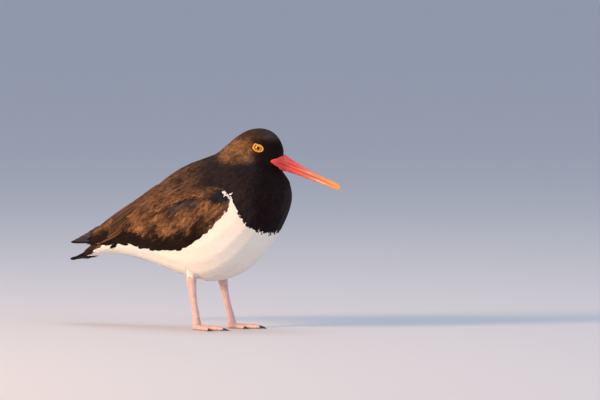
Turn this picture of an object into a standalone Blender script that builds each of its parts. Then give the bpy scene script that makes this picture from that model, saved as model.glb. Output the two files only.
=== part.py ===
"""A pied oystercatcher of life size, standing at rest with its neck drawn in and its head turned to its left.

Metres, +Z up. The bird's body faces +X and its left side is +Y. The origin is on the ground, in the middle
of the bird's own box. Every place below is first given in the bird's own frame, whose X and Y are zero
midway between the legs, and ORIGIN_SHIFT then moves the whole bird.
"""

import math
from collections import namedtuple

import bmesh
import bpy
from mathutils import Matrix, Vector

# Driving dimensions
GAP = 0.0003  # between pieces that touch
ORIGIN_SHIFT = Vector((0.0277, 0.0, 0.0))
AROUND = 22  # points round a section of the body
HEAD_TURN = math.radians(23)  # to the bird's left
NECK_AXIS_X = 0.030  # the upright line that the head turns about
BILL_PITCH = math.radians(22.4)  # below level
BILL_LENGTH = 0.0672
EYE_CENTRE = Vector((0.0557, 0.0128, 0.1930))  # before the head turns
EYE_RADIUS = 0.0056
HIP_HALF_WIDTH = 0.024  # from the middle line to each foot
STRIDE = 0.0056  # the left foot stands this far ahead of the middle, the right one as far behind
TOE_SPREAD = math.radians(30)
FLOOR_CUT_DEPTH = 0.01

# A section through the body. back and belly are its points on the middle plane, half_width its widest place,
# widest how far up from the belly that is, squareness 1 for an ellipse and less for a boxier section, and
# turn how much of the head's turn it takes.
Section = namedtuple("Section", "back belly half_width widest squareness turn")

BODY = {
    "tail_tip": Section((-0.1815, 0.0695), (-0.1815, 0.0675), 0.0150, 0.5, 0.70, 0),
    "tail_middle": Section((-0.170, 0.0742), (-0.171, 0.0708), 0.0190, 0.6, 0.75, 0),
    "tail_root": Section((-0.155, 0.0825), (-0.158, 0.0732), 0.0210, 0.6, 0.80, 0),
    "tail_coverts": Section((-0.138, 0.0975), (-0.140, 0.0755), 0.0208, 0.35, 0.95, 0),
    "rump": Section((-0.115, 0.1155), (-0.117, 0.0755), 0.0238, 0.42, 1, 0),
    "vent": Section((-0.088, 0.1345), (-0.090, 0.0710), 0.0318, 0.50, 1, 0),
    "loin": Section((-0.059, 0.1580), (-0.060, 0.0635), 0.0410, 0.52, 0.97, 0),
    "flank": Section((-0.030, 0.1745), (-0.031, 0.0555), 0.0465, 0.50, 0.95, 0),
    "belly": Section((-0.004, 0.1835), (0.001, 0.0508), 0.0490, 0.48, 0.95, 0),
    "keel": Section((0.007, 0.1872), (0.0325, 0.0605), 0.0490, 0.48, 0.95, 0),
    "breast": Section((0.011, 0.1890), (0.0600, 0.0835), 0.0465, 0.45, 0.95, 0),
    "crop": Section((0.013, 0.1905), (0.0798, 0.1097), 0.0420, 0.42, 0.97, 0.10),
    "neck_base": Section((0.014, 0.1920), (0.0900, 0.1335), 0.0370, 0.42, 1, 0.35),
    "neck": Section((0.016, 0.1938), (0.0885, 0.1520), 0.0310, 0.44, 1, 0.65),
    "throat": Section((0.020, 0.1970), (0.0815, 0.1640), 0.0245, 0.48, 1, 0.90),
    "nape": Section((0.028, 0.2038), (0.0790, 0.1672), 0.0205, 0.52, 1, 1),
    "cheek": Section((0.041, 0.2115), (0.0786, 0.1680), 0.0185, 0.55, 1, 1),
    "eye": Section((0.056, 0.2138), (0.0784, 0.1683), 0.0168, 0.55, 0.98, 1),
    "brow": Section((0.069, 0.2092), (0.0782, 0.1686), 0.0135, 0.52, 0.98, 1),
    "lore": Section((0.077, 0.1990), (0.0780, 0.1688), 0.0098, 0.50, 0.98, 1),
    "bill_root": Section((0.080, 0.1870), (0.0778, 0.1690), 0.0068, 0.50, 0.95, 1),
}
SECTION_NAMES = list(BODY)
RINGS_PER_SECTION = 3


def place_of(section_name):
    return SECTION_NAMES.index(section_name)


def blend_of(values, t):
    """A smooth curve through the values, one for each whole number t (Catmull and Rom's)."""
    i = min(max(int(math.floor(t)), 0), len(values) - 2)
    u = t - i
    before = values[max(i - 1, 0)]
    first, second = values[i], values[i + 1]
    after = values[min(i + 2, len(values) - 1)]
    return (
        first
        + (second - before) * (u / 2)
        + (before * 2 - first * 5 + second * 4 - after) * (u * u / 2)
        + (first * 3 - before - second * 3 + after) * (u * u * u / 2)
    )


def body_section(t):
    """The body's section at place t, between those of the list."""
    sections = list(BODY.values())
    points = [blend_of([Vector(getattr(s, end)) for s in sections], t) for end in ("back", "belly")]
    numbers = [blend_of([getattr(s, field) for s in sections], t) for field in Section._fields[2:]]
    numbers[-1] = min(max(numbers[-1], 0.0), 1.0)
    return Section(*points, *numbers)


def turned(point, share):
    """The point after that share of the head's turn."""
    pivot = Vector((NECK_AXIS_X, 0, 0))
    return Matrix.Rotation(HEAD_TURN * share, 3, "Z") @ (point - pivot) + pivot


def signed_power(value, exponent):
    return math.copysign(abs(value) ** exponent, value)


def section_ring(section, grow=0.0, shift=0.0):
    """The section's points, from the back round by the left side, grown outwards and shifted along the body."""
    back = Vector((section.back[0], 0, section.back[1]))
    belly = Vector((section.belly[0], 0, section.belly[1]))
    up = (back - belly).normalized()
    ahead = Vector((0, 1, 0)).cross(up)
    middle = belly.lerp(back, section.widest)
    ring = []
    for k in range(AROUND):
        angle = 2 * math.pi * k / AROUND
        rise = signed_power(math.cos(angle), section.squareness)
        side = signed_power(math.sin(angle), section.squareness)
        reach = (back - middle).length + grow if rise > 0 else (middle - belly).length + grow
        point = middle + up * (rise * reach) + Vector((0, side * (section.half_width + grow), 0))
        ring.append(turned(point + ahead * shift, section.turn))
    return ring


def body_rings(first, last, grow=0.0, gap=GAP / 2):
    """Rings from one place of the body to another, with the end rings moved in by the gap."""
    steps = round((last - first) * RINGS_PER_SECTION)
    rings = []
    for i in range(steps + 1):
        shift = gap if i == 0 else -gap if i == steps else 0.0
        rings.append(section_ring(body_section(first + (last - first) * i / steps), grow, shift))
    return rings


def lofted(name, rings, collection):
    """A closed solid of triangles through rings of points, with a flat cap at each end."""
    mesh = bpy.data.meshes.new(name)
    shape = bmesh.new()
    rows = [[shape.verts.new(point + ORIGIN_SHIFT) for point in ring] for ring in rings]
    count = len(rows[0])
    for here, there in zip(rows, rows[1:]):
        for k in range(count):
            after = (k + 1) % count
            shape.faces.new((here[k], here[after], there[after]))
            shape.faces.new((here[k], there[after], there[k]))
    shape.faces.new(rows[0])
    shape.faces.new(rows[-1])
    bmesh.ops.recalc_face_normals(shape, faces=shape.faces)
    shape.to_mesh(mesh)
    shape.free()
    mesh.shade_smooth()
    obj = bpy.data.objects.new(name, mesh)
    collection.objects.link(obj)
    return obj


def cut_by(obj, cutter):
    """A Boolean cut of obj by the cutter."""
    cut = obj.modifiers.new("cut_" + cutter.name, "BOOLEAN")
    cut.operation = "DIFFERENCE"
    cut.object = cutter


def joined_with(obj, other):
    join = obj.modifiers.new("join_" + other.name, "BOOLEAN")
    join.operation = "UNION"
    join.object = other


# The folded wing. Each station gives the upper and the lower edge of the blade as seen from the front, its
# thickness, and how far its middle stands out from the line between its edges.
WingStation = namedtuple("WingStation", "x top bottom thickness bulge")

WING = (
    WingStation(0.0500, (0.0410, 0.1450), (0.0430, 0.1370), 0.0040, 0.0010),
    WingStation(0.0440, (0.0412, 0.1510), (0.0450, 0.1260), 0.0080, 0.0020),
    WingStation(0.0300, (0.0418, 0.1550), (0.0472, 0.1130), 0.0100, 0.0032),
    WingStation(0.0120, (0.0410, 0.1560), (0.0470, 0.0990), 0.0105, 0.0045),
    WingStation(-0.0080, (0.0390, 0.1560), (0.0446, 0.0875), 0.0105, 0.0065),
    WingStation(-0.0350, (0.0310, 0.1570), (0.0398, 0.0845), 0.0100, 0.0110),
    WingStation(-0.0650, (0.0120, 0.1525), (0.0338, 0.0855), 0.0095, 0.0180),
    WingStation(-0.0900, (0.0040, 0.1375), (0.0285, 0.0885), 0.0085, 0.0165),
    WingStation(-0.1150, (0.0025, 0.1235), (0.0260, 0.0900), 0.0072, 0.0100),
    WingStation(-0.1380, (0.0020, 0.1100), (0.0220, 0.0890), 0.0056, 0.0050),
    WingStation(-0.1517, (0.0020, 0.1025), (0.0155, 0.0885), 0.0040, 0.0025),
)
PRIMARIES = (
    WingStation(-0.1520, (0.0020, 0.1020), (0.0120, 0.0895), 0.0034, 0.0020),
    WingStation(-0.1650, (0.0019, 0.0990), (0.0100, 0.0885), 0.0026, 0.0012),
    WingStation(-0.1780, (0.0017, 0.0930), (0.0072, 0.0872), 0.0018, 0.0006),
    WingStation(-0.1880, (0.0015, 0.0885), (0.0038, 0.0862), 0.0010, 0.0002),
)
WING_AROUND = 14
SHARPEST = 0.15  # keeps the pocket's corners short at the blade's thin edges


def wing_section(station):
    """The blade's outline from the front: a crescent, from its upper edge round the outer side."""
    top, bottom = Vector(station.top), Vector(station.bottom)
    along = (top - bottom) / 2
    outwards = Vector((-along.y, along.x)).normalized()
    if outwards.x < 0:
        outwards.negate()
    outline = []
    for k in range(WING_AROUND):
        angle = 2 * math.pi * k / WING_AROUND
        rise, side = math.cos(angle), math.sin(angle)
        out = station.bulge * side * side + side * station.thickness / 2
        outline.append((top + bottom) / 2 + along * rise + outwards * out)
    return outline


def facing(start, end):
    """The outward normal of one edge of the blade's outline."""
    edge = end - start
    return Vector((-edge.y, edge.x)).normalized()


def wing_ring(station, grow, shift):
    """The blade's outline at a station, with its edges moved outwards, shifted along the body."""
    outline = wing_section(station)
    ring = []
    for k, here in enumerate(outline):
        before, after = facing(outline[k - 1], here), facing(here, outline[(k + 1) % WING_AROUND])
        corner = here + (before + after) * (grow / max(1 + before.dot(after), SHARPEST))
        ring.append(Vector((station.x + shift, corner.x, corner.y)))
    return ring


def wing_rings(stations, grow=0.0, beyond=0.0, per_station=2):
    """Rings of a wing piece or its pocket, whose ends lie beyond the piece's own by that length."""
    rows = []
    steps = (len(stations) - 1) * per_station
    for i in range(steps + 1):
        t = i / per_station
        fields = ([getattr(s, name) for s in stations] for name in WingStation._fields)
        x, top, bottom, thickness, bulge = (
            blend_of([Vector(v) if isinstance(v, tuple) else v for v in values], t) for values in fields
        )
        shift = beyond if i == 0 else -beyond if i == steps else 0.0
        rows.append(wing_ring(WingStation(x, top, bottom, thickness, bulge), grow, shift))
    return rows


# The bill, in the frame of the straight head. Each station is a share of the length, the height of the
# culmen and of the lower edge above the tomium line, and the half-width.
BillStation = namedtuple("BillStation", "share above below half_width")

BILL = (
    BillStation(0.00, 0.0100, 0.0075, 0.0062),
    BillStation(0.10, 0.0082, 0.0064, 0.0056),
    BillStation(0.25, 0.0060, 0.0052, 0.0046),
    BillStation(0.45, 0.0046, 0.0048, 0.0036),
    BillStation(0.70, 0.0038, 0.0039, 0.0026),
    BillStation(0.90, 0.0032, 0.0032, 0.0019),
    BillStation(1.00, 0.0022, 0.0022, 0.0013),
)
BILL_AROUND = 10
BILL_SQUARE_FROM = 0.25  # share of the length from which the sections are square to the bill


def root_line():
    """The head's flat end on the middle plane: its lower and upper points."""
    root = BODY["bill_root"]
    return Vector((root.belly[0], 0, root.belly[1])), Vector((root.back[0], 0, root.back[1]))


def bill_rings(upper, per_station=2):
    """Rings of one mandible: a half-round on the tomium line, whose first ring lies along the head's end."""
    belly, back = root_line()
    root_up = (back - belly).normalized()
    axis = Vector((math.cos(BILL_PITCH), 0, -math.sin(BILL_PITCH)))
    square_up = Vector((math.sin(BILL_PITCH), 0, math.cos(BILL_PITCH)))
    base = belly.lerp(back, BILL[0].below / (BILL[0].above + BILL[0].below))
    base += Vector((0, 1, 0)).cross(root_up) * (GAP / 2)
    way = 1 if upper else -1
    rows = []
    steps = (len(BILL) - 1) * per_station
    for i in range(steps + 1):
        share, above, below, half_width = (blend_of([s[n] for s in BILL], i / per_station) for n in range(4))
        height = above if upper else below
        rise = root_up.lerp(square_up, min(share / BILL_SQUARE_FROM, 1.0)).normalized() * way
        ring = []
        for k in range(BILL_AROUND):
            angle = math.pi * k / (BILL_AROUND - 1)
            across = Vector((0, half_width * math.cos(angle), 0))
            point = base + axis * (share * BILL_LENGTH) + rise * (GAP / 2 + height * math.sin(angle)) + across
            ring.append(turned(point, 1))
        rows.append(ring)
    return rows


# The legs, before they are moved to each side. Each station is a height, the share of the leg's lean that
# its middle has there, and its half-sizes fore and aft and across.
LegStation = namedtuple("LegStation", "height lean fore_aft across")

LEG = (
    LegStation(0.0740, 0.40, 0.0064, 0.0052),
    LegStation(0.0640, 0.80, 0.0064, 0.0050),
    LegStation(0.0550, 1.00, 0.0062, 0.0049),
    LegStation(0.0460, 0.88, 0.0050, 0.0042),
    LegStation(0.0360, 0.68, 0.0040, 0.0033),
    LegStation(0.0240, 0.40, 0.0037, 0.0031),
    LegStation(0.0130, 0.10, 0.0040, 0.0036),
)
FOOT_JOINT = (
    LegStation(0.0127, 0.10, 0.0040, 0.0036),
    LegStation(0.0085, 0.04, 0.0045, 0.0042),
    LegStation(0.0040, 0.00, 0.0049, 0.0046),
    LegStation(-0.0030, 0.00, 0.0049, 0.0046),
)
LEG_AROUND = 12
LEG_LEAN = {1: -0.0125, -1: -0.0075}  # of the heel joint, behind the foot's: 1 is the left leg
FOOT_TURN = {1: math.radians(9), -1: math.radians(2)}
TOES = {"inner": (-1, 0.0240), "middle": (0, 0.0335), "outer": (1, 0.0280)}  # side and length
TOE_RADII = ((0.0, 0.0042), (0.25, 0.0033), (0.6, 0.0028), (0.9, 0.0023), (1.0, 0.0014))
TOE_HEIGHT = 0.0018
CLAW_LENGTH = 0.0068
CLAW_ROOT_RADIUS = 0.0014


def leg_rings(stations, side, per_station=2):
    """Rings of one leg or foot joint. side is 1 for the left and -1 for the right."""
    rows = []
    for i in range((len(stations) - 1) * per_station + 1):
        t = i / per_station
        height, lean, fore_aft, across = (blend_of([s[n] for s in stations], t) for n in range(4))
        centre = foot_place(side) + Vector((lean * LEG_LEAN[side], 0, height))
        rows.append(oval(centre, Vector((fore_aft, 0, 0)), Vector((0, across, 0)), LEG_AROUND))
    return rows


def foot_place(side):
    return Vector((STRIDE * side, HIP_HALF_WIDTH * side, 0))


def oval(centre, first, second, count):
    angles = (2 * math.pi * k / count for k in range(count))
    return [centre + first * math.cos(a) + second * math.sin(a) for a in angles]


def toe_direction(side, toe):
    angle = side * TOES[toe][0] * TOE_SPREAD + FOOT_TURN[side]
    return Vector((math.cos(angle), math.sin(angle), 0))


def toe_rings(side, toe):
    """Rings of one toe, round, with its lower side below the ground for the floor to cut flat."""
    way = toe_direction(side, toe)
    across = Vector((-way.y, way.x, 0))
    rows = []
    for share, radius in TOE_RADII:
        centre = foot_place(side) + way * (share * TOES[toe][1]) + Vector((0, 0, TOE_HEIGHT))
        rows.append(oval(centre, across * radius, Vector((0, 0, radius)), 10))
    return rows


def claw_rings(side, toe):
    """Rings of one claw, a cone that bends down to the ground."""
    way = toe_direction(side, toe)
    across = Vector((-way.y, way.x, 0))
    root = foot_place(side) + way * (TOES[toe][1] + GAP) + Vector((0, 0, TOE_HEIGHT))
    rows = []
    for share in (0.0, 0.35, 0.7, 1.0):
        radius = CLAW_ROOT_RADIUS * (1 - 0.72 * share)
        drop = 0.0012 * share * share
        centre = root + way * (CLAW_LENGTH * share) - Vector((0, 0, drop))
        rows.append(oval(centre, across * radius, Vector((0, 0, radius)), 8))
    return rows


# Colour, roughness and metallic value of each finish
FINISHES = {
    "black_feather": ((0.020, 0.017, 0.015), 0.75),
    "brown_feather": ((0.085, 0.055, 0.034), 0.75),
    "white_feather": ((0.85, 0.82, 0.78), 0.80),
    "bill": ((0.80, 0.13, 0.07), 0.35),
    "eye": ((0.85, 0.55, 0.05), 0.10),
    "leg_skin": ((0.80, 0.50, 0.42), 0.55),
    "claw": ((0.05, 0.04, 0.04), 0.40),
}


def finish(name):
    found = bpy.data.materials.get(name)
    if found:
        return found
    colour, roughness = FINISHES[name]
    material = bpy.data.materials.new(name)
    material.use_nodes = True
    shader = material.node_tree.nodes["Principled BSDF"]
    shader.inputs["Base Color"].default_value = (*colour, 1)
    shader.inputs["Roughness"].default_value = roughness
    shader.inputs["Metallic"].default_value = 0.0
    return material


def finished(obj, name):
    obj.data.materials.append(finish(name))
    return obj


def collection_named(name, shown):
    made = bpy.data.collections.new(name)
    bpy.context.scene.collection.children.link(made)
    made.hide_render = not shown
    return made


def hide_cutter(obj):
    obj.hide_render = True
    obj.display_type = "WIRE"
    return obj


def make_body(bird):
    """The tail, rump, trunk, neck and head, as lengths of one loft."""
    ends = {
        "tail": ("tail_tip", "rump", "black_feather"),
        "rump": ("rump", "loin", "white_feather"),
        "trunk": ("loin", "breast", "white_feather"),
        "breast_front": ("breast", "neck_base", "black_feather"),
        "neck": ("neck_base", "throat", "black_feather"),
        "head": ("throat", "bill_root", "black_feather"),
    }
    made = {}
    for name, (first, last, coat) in ends.items():
        rings = body_rings(place_of(first), place_of(last))
        made[name] = finished(lofted(name, rings, bird), coat)
    return made


def make_wings(bird, cutters, body):
    """Both folded wings, let into the body's sides."""
    for side, name in ((1, "left"), (-1, "right")):
        pieces = {
            "wing": (WING, "brown_feather"),
            "primaries": (PRIMARIES, "black_feather"),
        }
        for kind, (stations, coat) in pieces.items():
            solid = lofted(f"{kind}_{name}", wing_rings(stations), bird)
            cutter = lofted(f"{kind}_{name}_pocket", wing_rings(stations, GAP, GAP), cutters)
            hide_cutter(cutter)
            for obj in (solid, cutter):
                if side < 0:
                    mirror_in_place(obj)
            finished(solid, coat)
            for part in ("tail", "rump", "trunk", "breast_front"):
                cut_by(body[part], cutter)


def mirror_in_place(obj):
    obj.data.transform(Matrix.Translation(-ORIGIN_SHIFT))
    obj.data.transform(Matrix.Scale(-1, 4, Vector((0, 1, 0))))
    obj.data.transform(Matrix.Translation(ORIGIN_SHIFT))
    obj.data.flip_normals()


def make_bill(bird):
    for name, upper in (("bill_upper", True), ("bill_lower", False)):
        finished(lofted(name, bill_rings(upper), bird), "bill")


def make_eyes(bird, cutters, head):
    for side, name in ((1, "left"), (-1, "right")):
        centre = turned(EYE_CENTRE * Vector((1, side, 1)), 1) + ORIGIN_SHIFT
        for kind, radius, collection in (
            ("eye", EYE_RADIUS, bird),
            ("eye_socket", EYE_RADIUS + GAP, cutters),
        ):
            bpy.ops.mesh.primitive_uv_sphere_add(segments=16, ring_count=10, radius=radius, location=centre)
            ball = bpy.context.object
            ball.name = f"{kind}_{name}"
            move_to(ball, collection)
            if kind == "eye":
                ball.data.shade_smooth()
                finished(ball, "eye")
            else:
                cut_by(head, hide_cutter(ball))


def move_to(obj, collection):
    for old in list(obj.users_collection):
        old.objects.unlink(obj)
    collection.objects.link(obj)


def make_legs(bird, cutters):
    """Each leg up to the belly, and a foot with three toes, flat underneath, and their claws."""
    body_cutter = lofted("belly_edge", body_rings(place_of("rump"), place_of("breast"), GAP, 0.0), cutters)
    hide_cutter(body_cutter)
    bpy.ops.mesh.primitive_cube_add(size=1, location=(0, 0, -FLOOR_CUT_DEPTH / 2))
    floor = bpy.context.object
    floor.name = "floor_cut"
    floor.data.transform(Matrix.Diagonal((0.4, 0.4, FLOOR_CUT_DEPTH, 1)))
    move_to(floor, cutters)
    hide_cutter(floor)
    for side, name in ((1, "left"), (-1, "right")):
        leg = lofted(f"leg_{name}", leg_rings(LEG, side), bird)
        cut_by(leg, body_cutter)
        finished(leg, "leg_skin")
        foot = lofted(f"foot_{name}", leg_rings(FOOT_JOINT, side), bird)
        for toe in TOES:
            shape = lofted(f"toe_{name}_{toe}", toe_rings(side, toe), cutters)
            joined_with(foot, hide_cutter(shape))
            claw = lofted(f"claw_{name}_{toe}", claw_rings(side, toe), bird)
            cut_by(claw, floor)
            finished(claw, "claw")
        cut_by(foot, floor)
        finished(foot, "leg_skin")


def main():
    for obj in list(bpy.data.objects):
        bpy.data.objects.remove(obj)
    bird = collection_named("oystercatcher", shown=True)
    cutters = collection_named("cutters", shown=False)
    body = make_body(bird)
    make_wings(bird, cutters, body)
    make_bill(bird)
    make_eyes(bird, cutters, body["head"])
    make_legs(bird, cutters)


main()
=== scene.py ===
"""The looks of the oystercatcher: its skin, feathers, bill, eyes, legs and claws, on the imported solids.

Places are in metres in the bird's own frame, whose zero lies on the floor between the feet, and which
has +X ahead and +Z up. FEET_X moves them to the row frame. A place on the head is given before the head turns.
"""

import math

import bpy
import numpy as np
from mathutils import Matrix, Vector
from mathutils.bvhtree import BVHTree
from mathutils.geometry import barycentric_transform


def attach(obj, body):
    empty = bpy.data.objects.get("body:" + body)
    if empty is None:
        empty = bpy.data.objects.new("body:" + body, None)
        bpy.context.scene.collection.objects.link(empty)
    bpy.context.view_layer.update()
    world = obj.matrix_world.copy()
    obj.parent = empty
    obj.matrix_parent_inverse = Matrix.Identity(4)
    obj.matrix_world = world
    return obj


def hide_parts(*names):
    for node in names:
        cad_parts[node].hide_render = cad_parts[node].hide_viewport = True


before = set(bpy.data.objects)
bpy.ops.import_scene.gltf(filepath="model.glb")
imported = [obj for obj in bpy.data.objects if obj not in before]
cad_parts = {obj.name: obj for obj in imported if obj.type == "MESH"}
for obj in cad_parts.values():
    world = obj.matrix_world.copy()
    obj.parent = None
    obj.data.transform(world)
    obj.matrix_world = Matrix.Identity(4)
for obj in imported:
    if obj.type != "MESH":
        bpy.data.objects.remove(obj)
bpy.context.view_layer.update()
rng = np.random.default_rng(7157)

# Sizes and places

FEET_X = 0.0277  # the middle of the feet, ahead of the row frame's zero
NECK_AXIS_X = 0.030  # the upright line that the head turns about
HEAD_TURN = math.radians(23)
BILL_PITCH = math.radians(22.4)
BILL_LENGTH = 0.0672
BILL_ROOT = (0.0789, 0.0, 0.1780)
EYE_PLACE = (0.0557, 0.0128, 0.1930)
EYE_RADIUS = 0.0055
TAIL_SKIN_END = -0.163
WING_SKIN_END = -0.1475  # feathers of the wing run straight on from here
VOXEL = 0.0015
GROW = 0.00025  # closes the thin gaps between the solids before they are made one
BAKE_PATCH = 0.003
EYE_OVAL = (0.0060, 0.0041)  # half the width and half the height of the yellow round the eye
GAPE_CORNER = 0.0694  # where the mouth's corner ends on the side of the head
GAPE_END = 0.0865  # where it has become the side of the bill
GAPE_PUFF = 0.0005
BILL_GROW = 0.00025  # closes the gap between the bill's halves
MOUTH_LINE = -0.00125  # height of the line between the bill's halves over its axis
RING_SHARE = 0.17  # the eye ring's thickness as a share of its width
RING_LEVEL = 0.0043  # the eye ring's height above the middle of the eye
SCAPULAR_RISE = 0.0018  # how far the shoulder feathers stand over the wing at their ends

FLESH = ("head", "neck", "breast_front", "trunk", "rump", "tail", "wing_left", "wing_right")
WINGS = ("wing_left", "wing_right")


def paint(red, green, blue):
    """A colour from 0 to 255 in each part, as the shaders take it."""
    parts = np.array([red, green, blue]) / 255
    return np.where(parts <= 0.04045, parts / 12.92, ((parts + 0.055) / 1.055) ** 2.4)


BLACK = paint(32, 26, 29)
BLUE_BLACK = paint(31, 32, 40)
# painted sheen on the black throat
THROAT_SHEEN = paint(74, 58, 54)
FACE_BLACK = paint(21, 12, 13)
BLACK_BROWN = paint(27, 18, 13)
DARK_BROWN = paint(50, 38, 32)
BROWN = paint(80, 58, 44)
WARM_BROWN = paint(102, 74, 54)
ORANGE_BROWN = paint(122, 87, 58)
OLIVE_BROWN = paint(124, 90, 58)
# painted light: a bluish grey for the shade under the shoulder feathers and for the sheen on the forehead
GREY_SHADE_AND_SHEEN = paint(78, 70, 70)
WHITE = paint(240, 237, 232)
CREAM = paint(243, 235, 224)


# Moving between frames

def turned(points, share=1.0):
    """Points of the bird's frame after that share of the head's turn."""
    points = np.asarray(points, float)
    angle = HEAD_TURN * np.asarray(share, float)
    ahead, side = points[..., 0] - NECK_AXIS_X, points[..., 1]
    x = NECK_AXIS_X + ahead * np.cos(angle) - side * np.sin(angle)
    y = ahead * np.sin(angle) + side * np.cos(angle)
    return np.stack([x, y, points[..., 2]], -1)


def in_row(points):
    return np.asarray(points, float) + (FEET_X, 0, 0)


def in_bird(points):
    return np.asarray(points, float) - (FEET_X, 0, 0)


def before_turn(points):
    """Row-frame points on the head, in the bird's frame before its head turned."""
    return turned(in_bird(points), -1.0)


def on_head(place):
    return in_row(turned(place))


def head_way(direction):
    """A direction on the head, after its turn."""
    return turned(np.add(direction, (NECK_AXIS_X, 0, 0))) - (NECK_AXIS_X, 0, 0)


def unit(vectors):
    return vectors / np.maximum(np.linalg.norm(vectors, axis=-1, keepdims=True), 1e-12)


def soft_step(low, high, values):
    """0 below low, 1 above high, and smooth between them."""
    share = np.clip((values - low) / (high - low), 0, 1)
    return share * share * (3 - 2 * share)


def mixed(first, second, share):
    return np.asarray(first) * (1 - share[..., None]) + np.asarray(second) * share[..., None]


def gape_outline(x):
    """Top and bottom of the red skin behind the bill, at places along the head."""
    top = np.interp(x, (0.0694, 0.0745, 0.0765, 0.0785, 0.0800, 0.0865), (0.1799, 0.1818, 0.1832, 0.1848, 0.1852, 0.1818))
    low = np.interp(x, (0.0694, 0.0730, 0.0760, 0.0768, 0.0800, 0.0865), (0.1798, 0.1765, 0.1729, 0.1704, 0.1694, 0.1676))
    return top, low


def eye_oval(head):
    """How far out points of the head lie from the middle of the eye: 1 on the edge of the yellow ring."""
    ahead, above = head[:, 0] - EYE_PLACE[0], head[:, 2] - EYE_PLACE[2]
    share = ((ahead - above * 0.2) / EYE_OVAL[0]) ** 2 + ((above + ahead * 0.3) / EYE_OVAL[1]) ** 2
    return np.where((np.abs(head[:, 1]) > 0.008) & (head[:, 2] > 0.18), np.sqrt(share), 9.0)


# Making pieces

def only(obj):
    bpy.ops.object.select_all(action="DESELECT")
    obj.select_set(True)
    bpy.context.view_layer.objects.active = obj


def modified(obj, kind, **settings):
    """Adds a modifier and applies it."""
    only(obj)
    modifier = obj.modifiers.new(kind.title(), kind)
    for name, value in settings.items():
        setattr(modifier, name, value)
    bpy.ops.object.modifier_apply(modifier=modifier.name)
    return obj


def copy_of(name, node_names):
    """A new piece from copies of the CAD nodes, with their loose triangles merged."""
    copies = []
    for node_name in node_names:
        copy = bpy.data.objects.new(name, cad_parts[node_name].data.copy())
        bpy.context.scene.collection.objects.link(copy)
        copies.append(copy)
    only(copies[0])
    for copy in copies[1:]:
        copy.select_set(True)
    if len(copies) > 1:
        bpy.ops.object.join()
    obj = bpy.context.view_layer.objects.active
    bpy.ops.object.mode_set(mode="EDIT")
    bpy.ops.mesh.select_all(action="SELECT")
    bpy.ops.mesh.remove_doubles(threshold=1e-5)
    bpy.ops.mesh.normals_make_consistent(inside=False)
    bpy.ops.object.mode_set(mode="OBJECT")
    obj.name = name
    obj.data.name = name
    obj.data.materials.clear()
    return obj


def cut_off(obj, place, direction):
    """Cuts away what lies beyond the plane and closes the cut."""
    only(obj)
    bpy.ops.object.mode_set(mode="EDIT")
    bpy.ops.mesh.select_all(action="SELECT")
    bpy.ops.mesh.bisect(plane_co=place, plane_no=direction, use_fill=True, clear_outer=True)
    bpy.ops.object.mode_set(mode="OBJECT")


def points_of(obj):
    points = np.zeros(len(obj.data.vertices) * 3)
    obj.data.vertices.foreach_get("co", points)
    return points.reshape(-1, 3)


def normals_of(obj):
    normals = np.zeros(len(obj.data.vertices) * 3)
    obj.data.vertices.foreach_get("normal", normals)
    return normals.reshape(-1, 3)


def set_points(obj, points):
    obj.data.vertices.foreach_set("co", points.ravel())
    obj.data.update()


def edges_of(obj):
    edges = np.zeros(len(obj.data.edges) * 2, int)
    obj.data.edges.foreach_get("vertices", edges)
    return edges.reshape(-1, 2)


def neighbours_mean(values, edges):
    count = len(values)
    degree = np.bincount(edges.ravel(), minlength=count)
    total = np.stack([
        np.bincount(edges[:, 0], values[edges[:, 1], k], count)
        + np.bincount(edges[:, 1], values[edges[:, 0], k], count)
        for k in range(values.shape[1])
    ], 1)
    return total / np.maximum(degree, 1)[:, None]


def smoothed(values, edges, rounds, push=0.0):
    """Values eased towards their neighbours. With push they are eased back out, so that a form keeps its size."""
    for _ in range(rounds):
        values = values + 0.5 * (neighbours_mean(values, edges) - values)
        if push:
            values = values - push * (neighbours_mean(values, edges) - values)
    return values


def finished(obj, material, slot, *stands_for):
    """The piece gets its material and rides on the body."""
    obj.data.materials.clear()
    obj.data.materials.append(material)
    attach(obj, "root")
    if stands_for:
        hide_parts(*stands_for)
    return obj


# Materials

def node(tree, kind, inputs=(), **settings):
    made = tree.nodes.new(kind)
    for name, value in settings.items():
        setattr(made, name, value)
    for key, value in dict(inputs).items():
        if isinstance(value, bpy.types.NodeSocket):
            tree.links.new(value, made.inputs[key])
        else:
            made.inputs[key].default_value = value
    return made


def sums(tree, operation, *values, clamp=False):
    made = node(tree, "ShaderNodeMath", dict(enumerate(values)), operation=operation, use_clamp=clamp)
    return made.outputs[0]


def eased(tree, value, low, high, to_low=0.0, to_high=1.0):
    inputs = {"Value": value, "From Min": low, "From Max": high, "To Min": to_low, "To Max": to_high}
    return node(tree, "ShaderNodeMapRange", inputs, interpolation_type="SMOOTHSTEP").outputs[0]


def blended(tree, share, first, second, blend_type="MIX"):
    made = node(tree, "ShaderNodeMix", {0: share, 6: first, 7: second}, data_type="RGBA", blend_type=blend_type)
    return made.outputs[2]


def rgba(colour):
    return (*[float(part) for part in colour], 1.0)


def new_material(name, roughness, specular):
    material = bpy.data.materials.new(name)
    material.use_nodes = True
    tree = material.node_tree
    shader = tree.nodes["Principled BSDF"]
    shader.inputs["Roughness"].default_value = roughness
    shader.inputs["Specular IOR Level"].default_value = specular
    return material, tree, shader


def noise(tree, place, scale, detail=2.0, roughness=0.5):
    inputs = {"Vector": place, "Scale": scale, "Detail": detail, "Roughness": roughness}
    return node(tree, "ShaderNodeTexNoise", inputs).outputs["Fac"]


def bumped(tree, shader, height, strength, distance):
    inputs = {"Height": height, "Strength": strength, "Distance": distance}
    bump = node(tree, "ShaderNodeBump", inputs)
    tree.links.new(bump.outputs[0], shader.inputs["Normal"])


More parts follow.
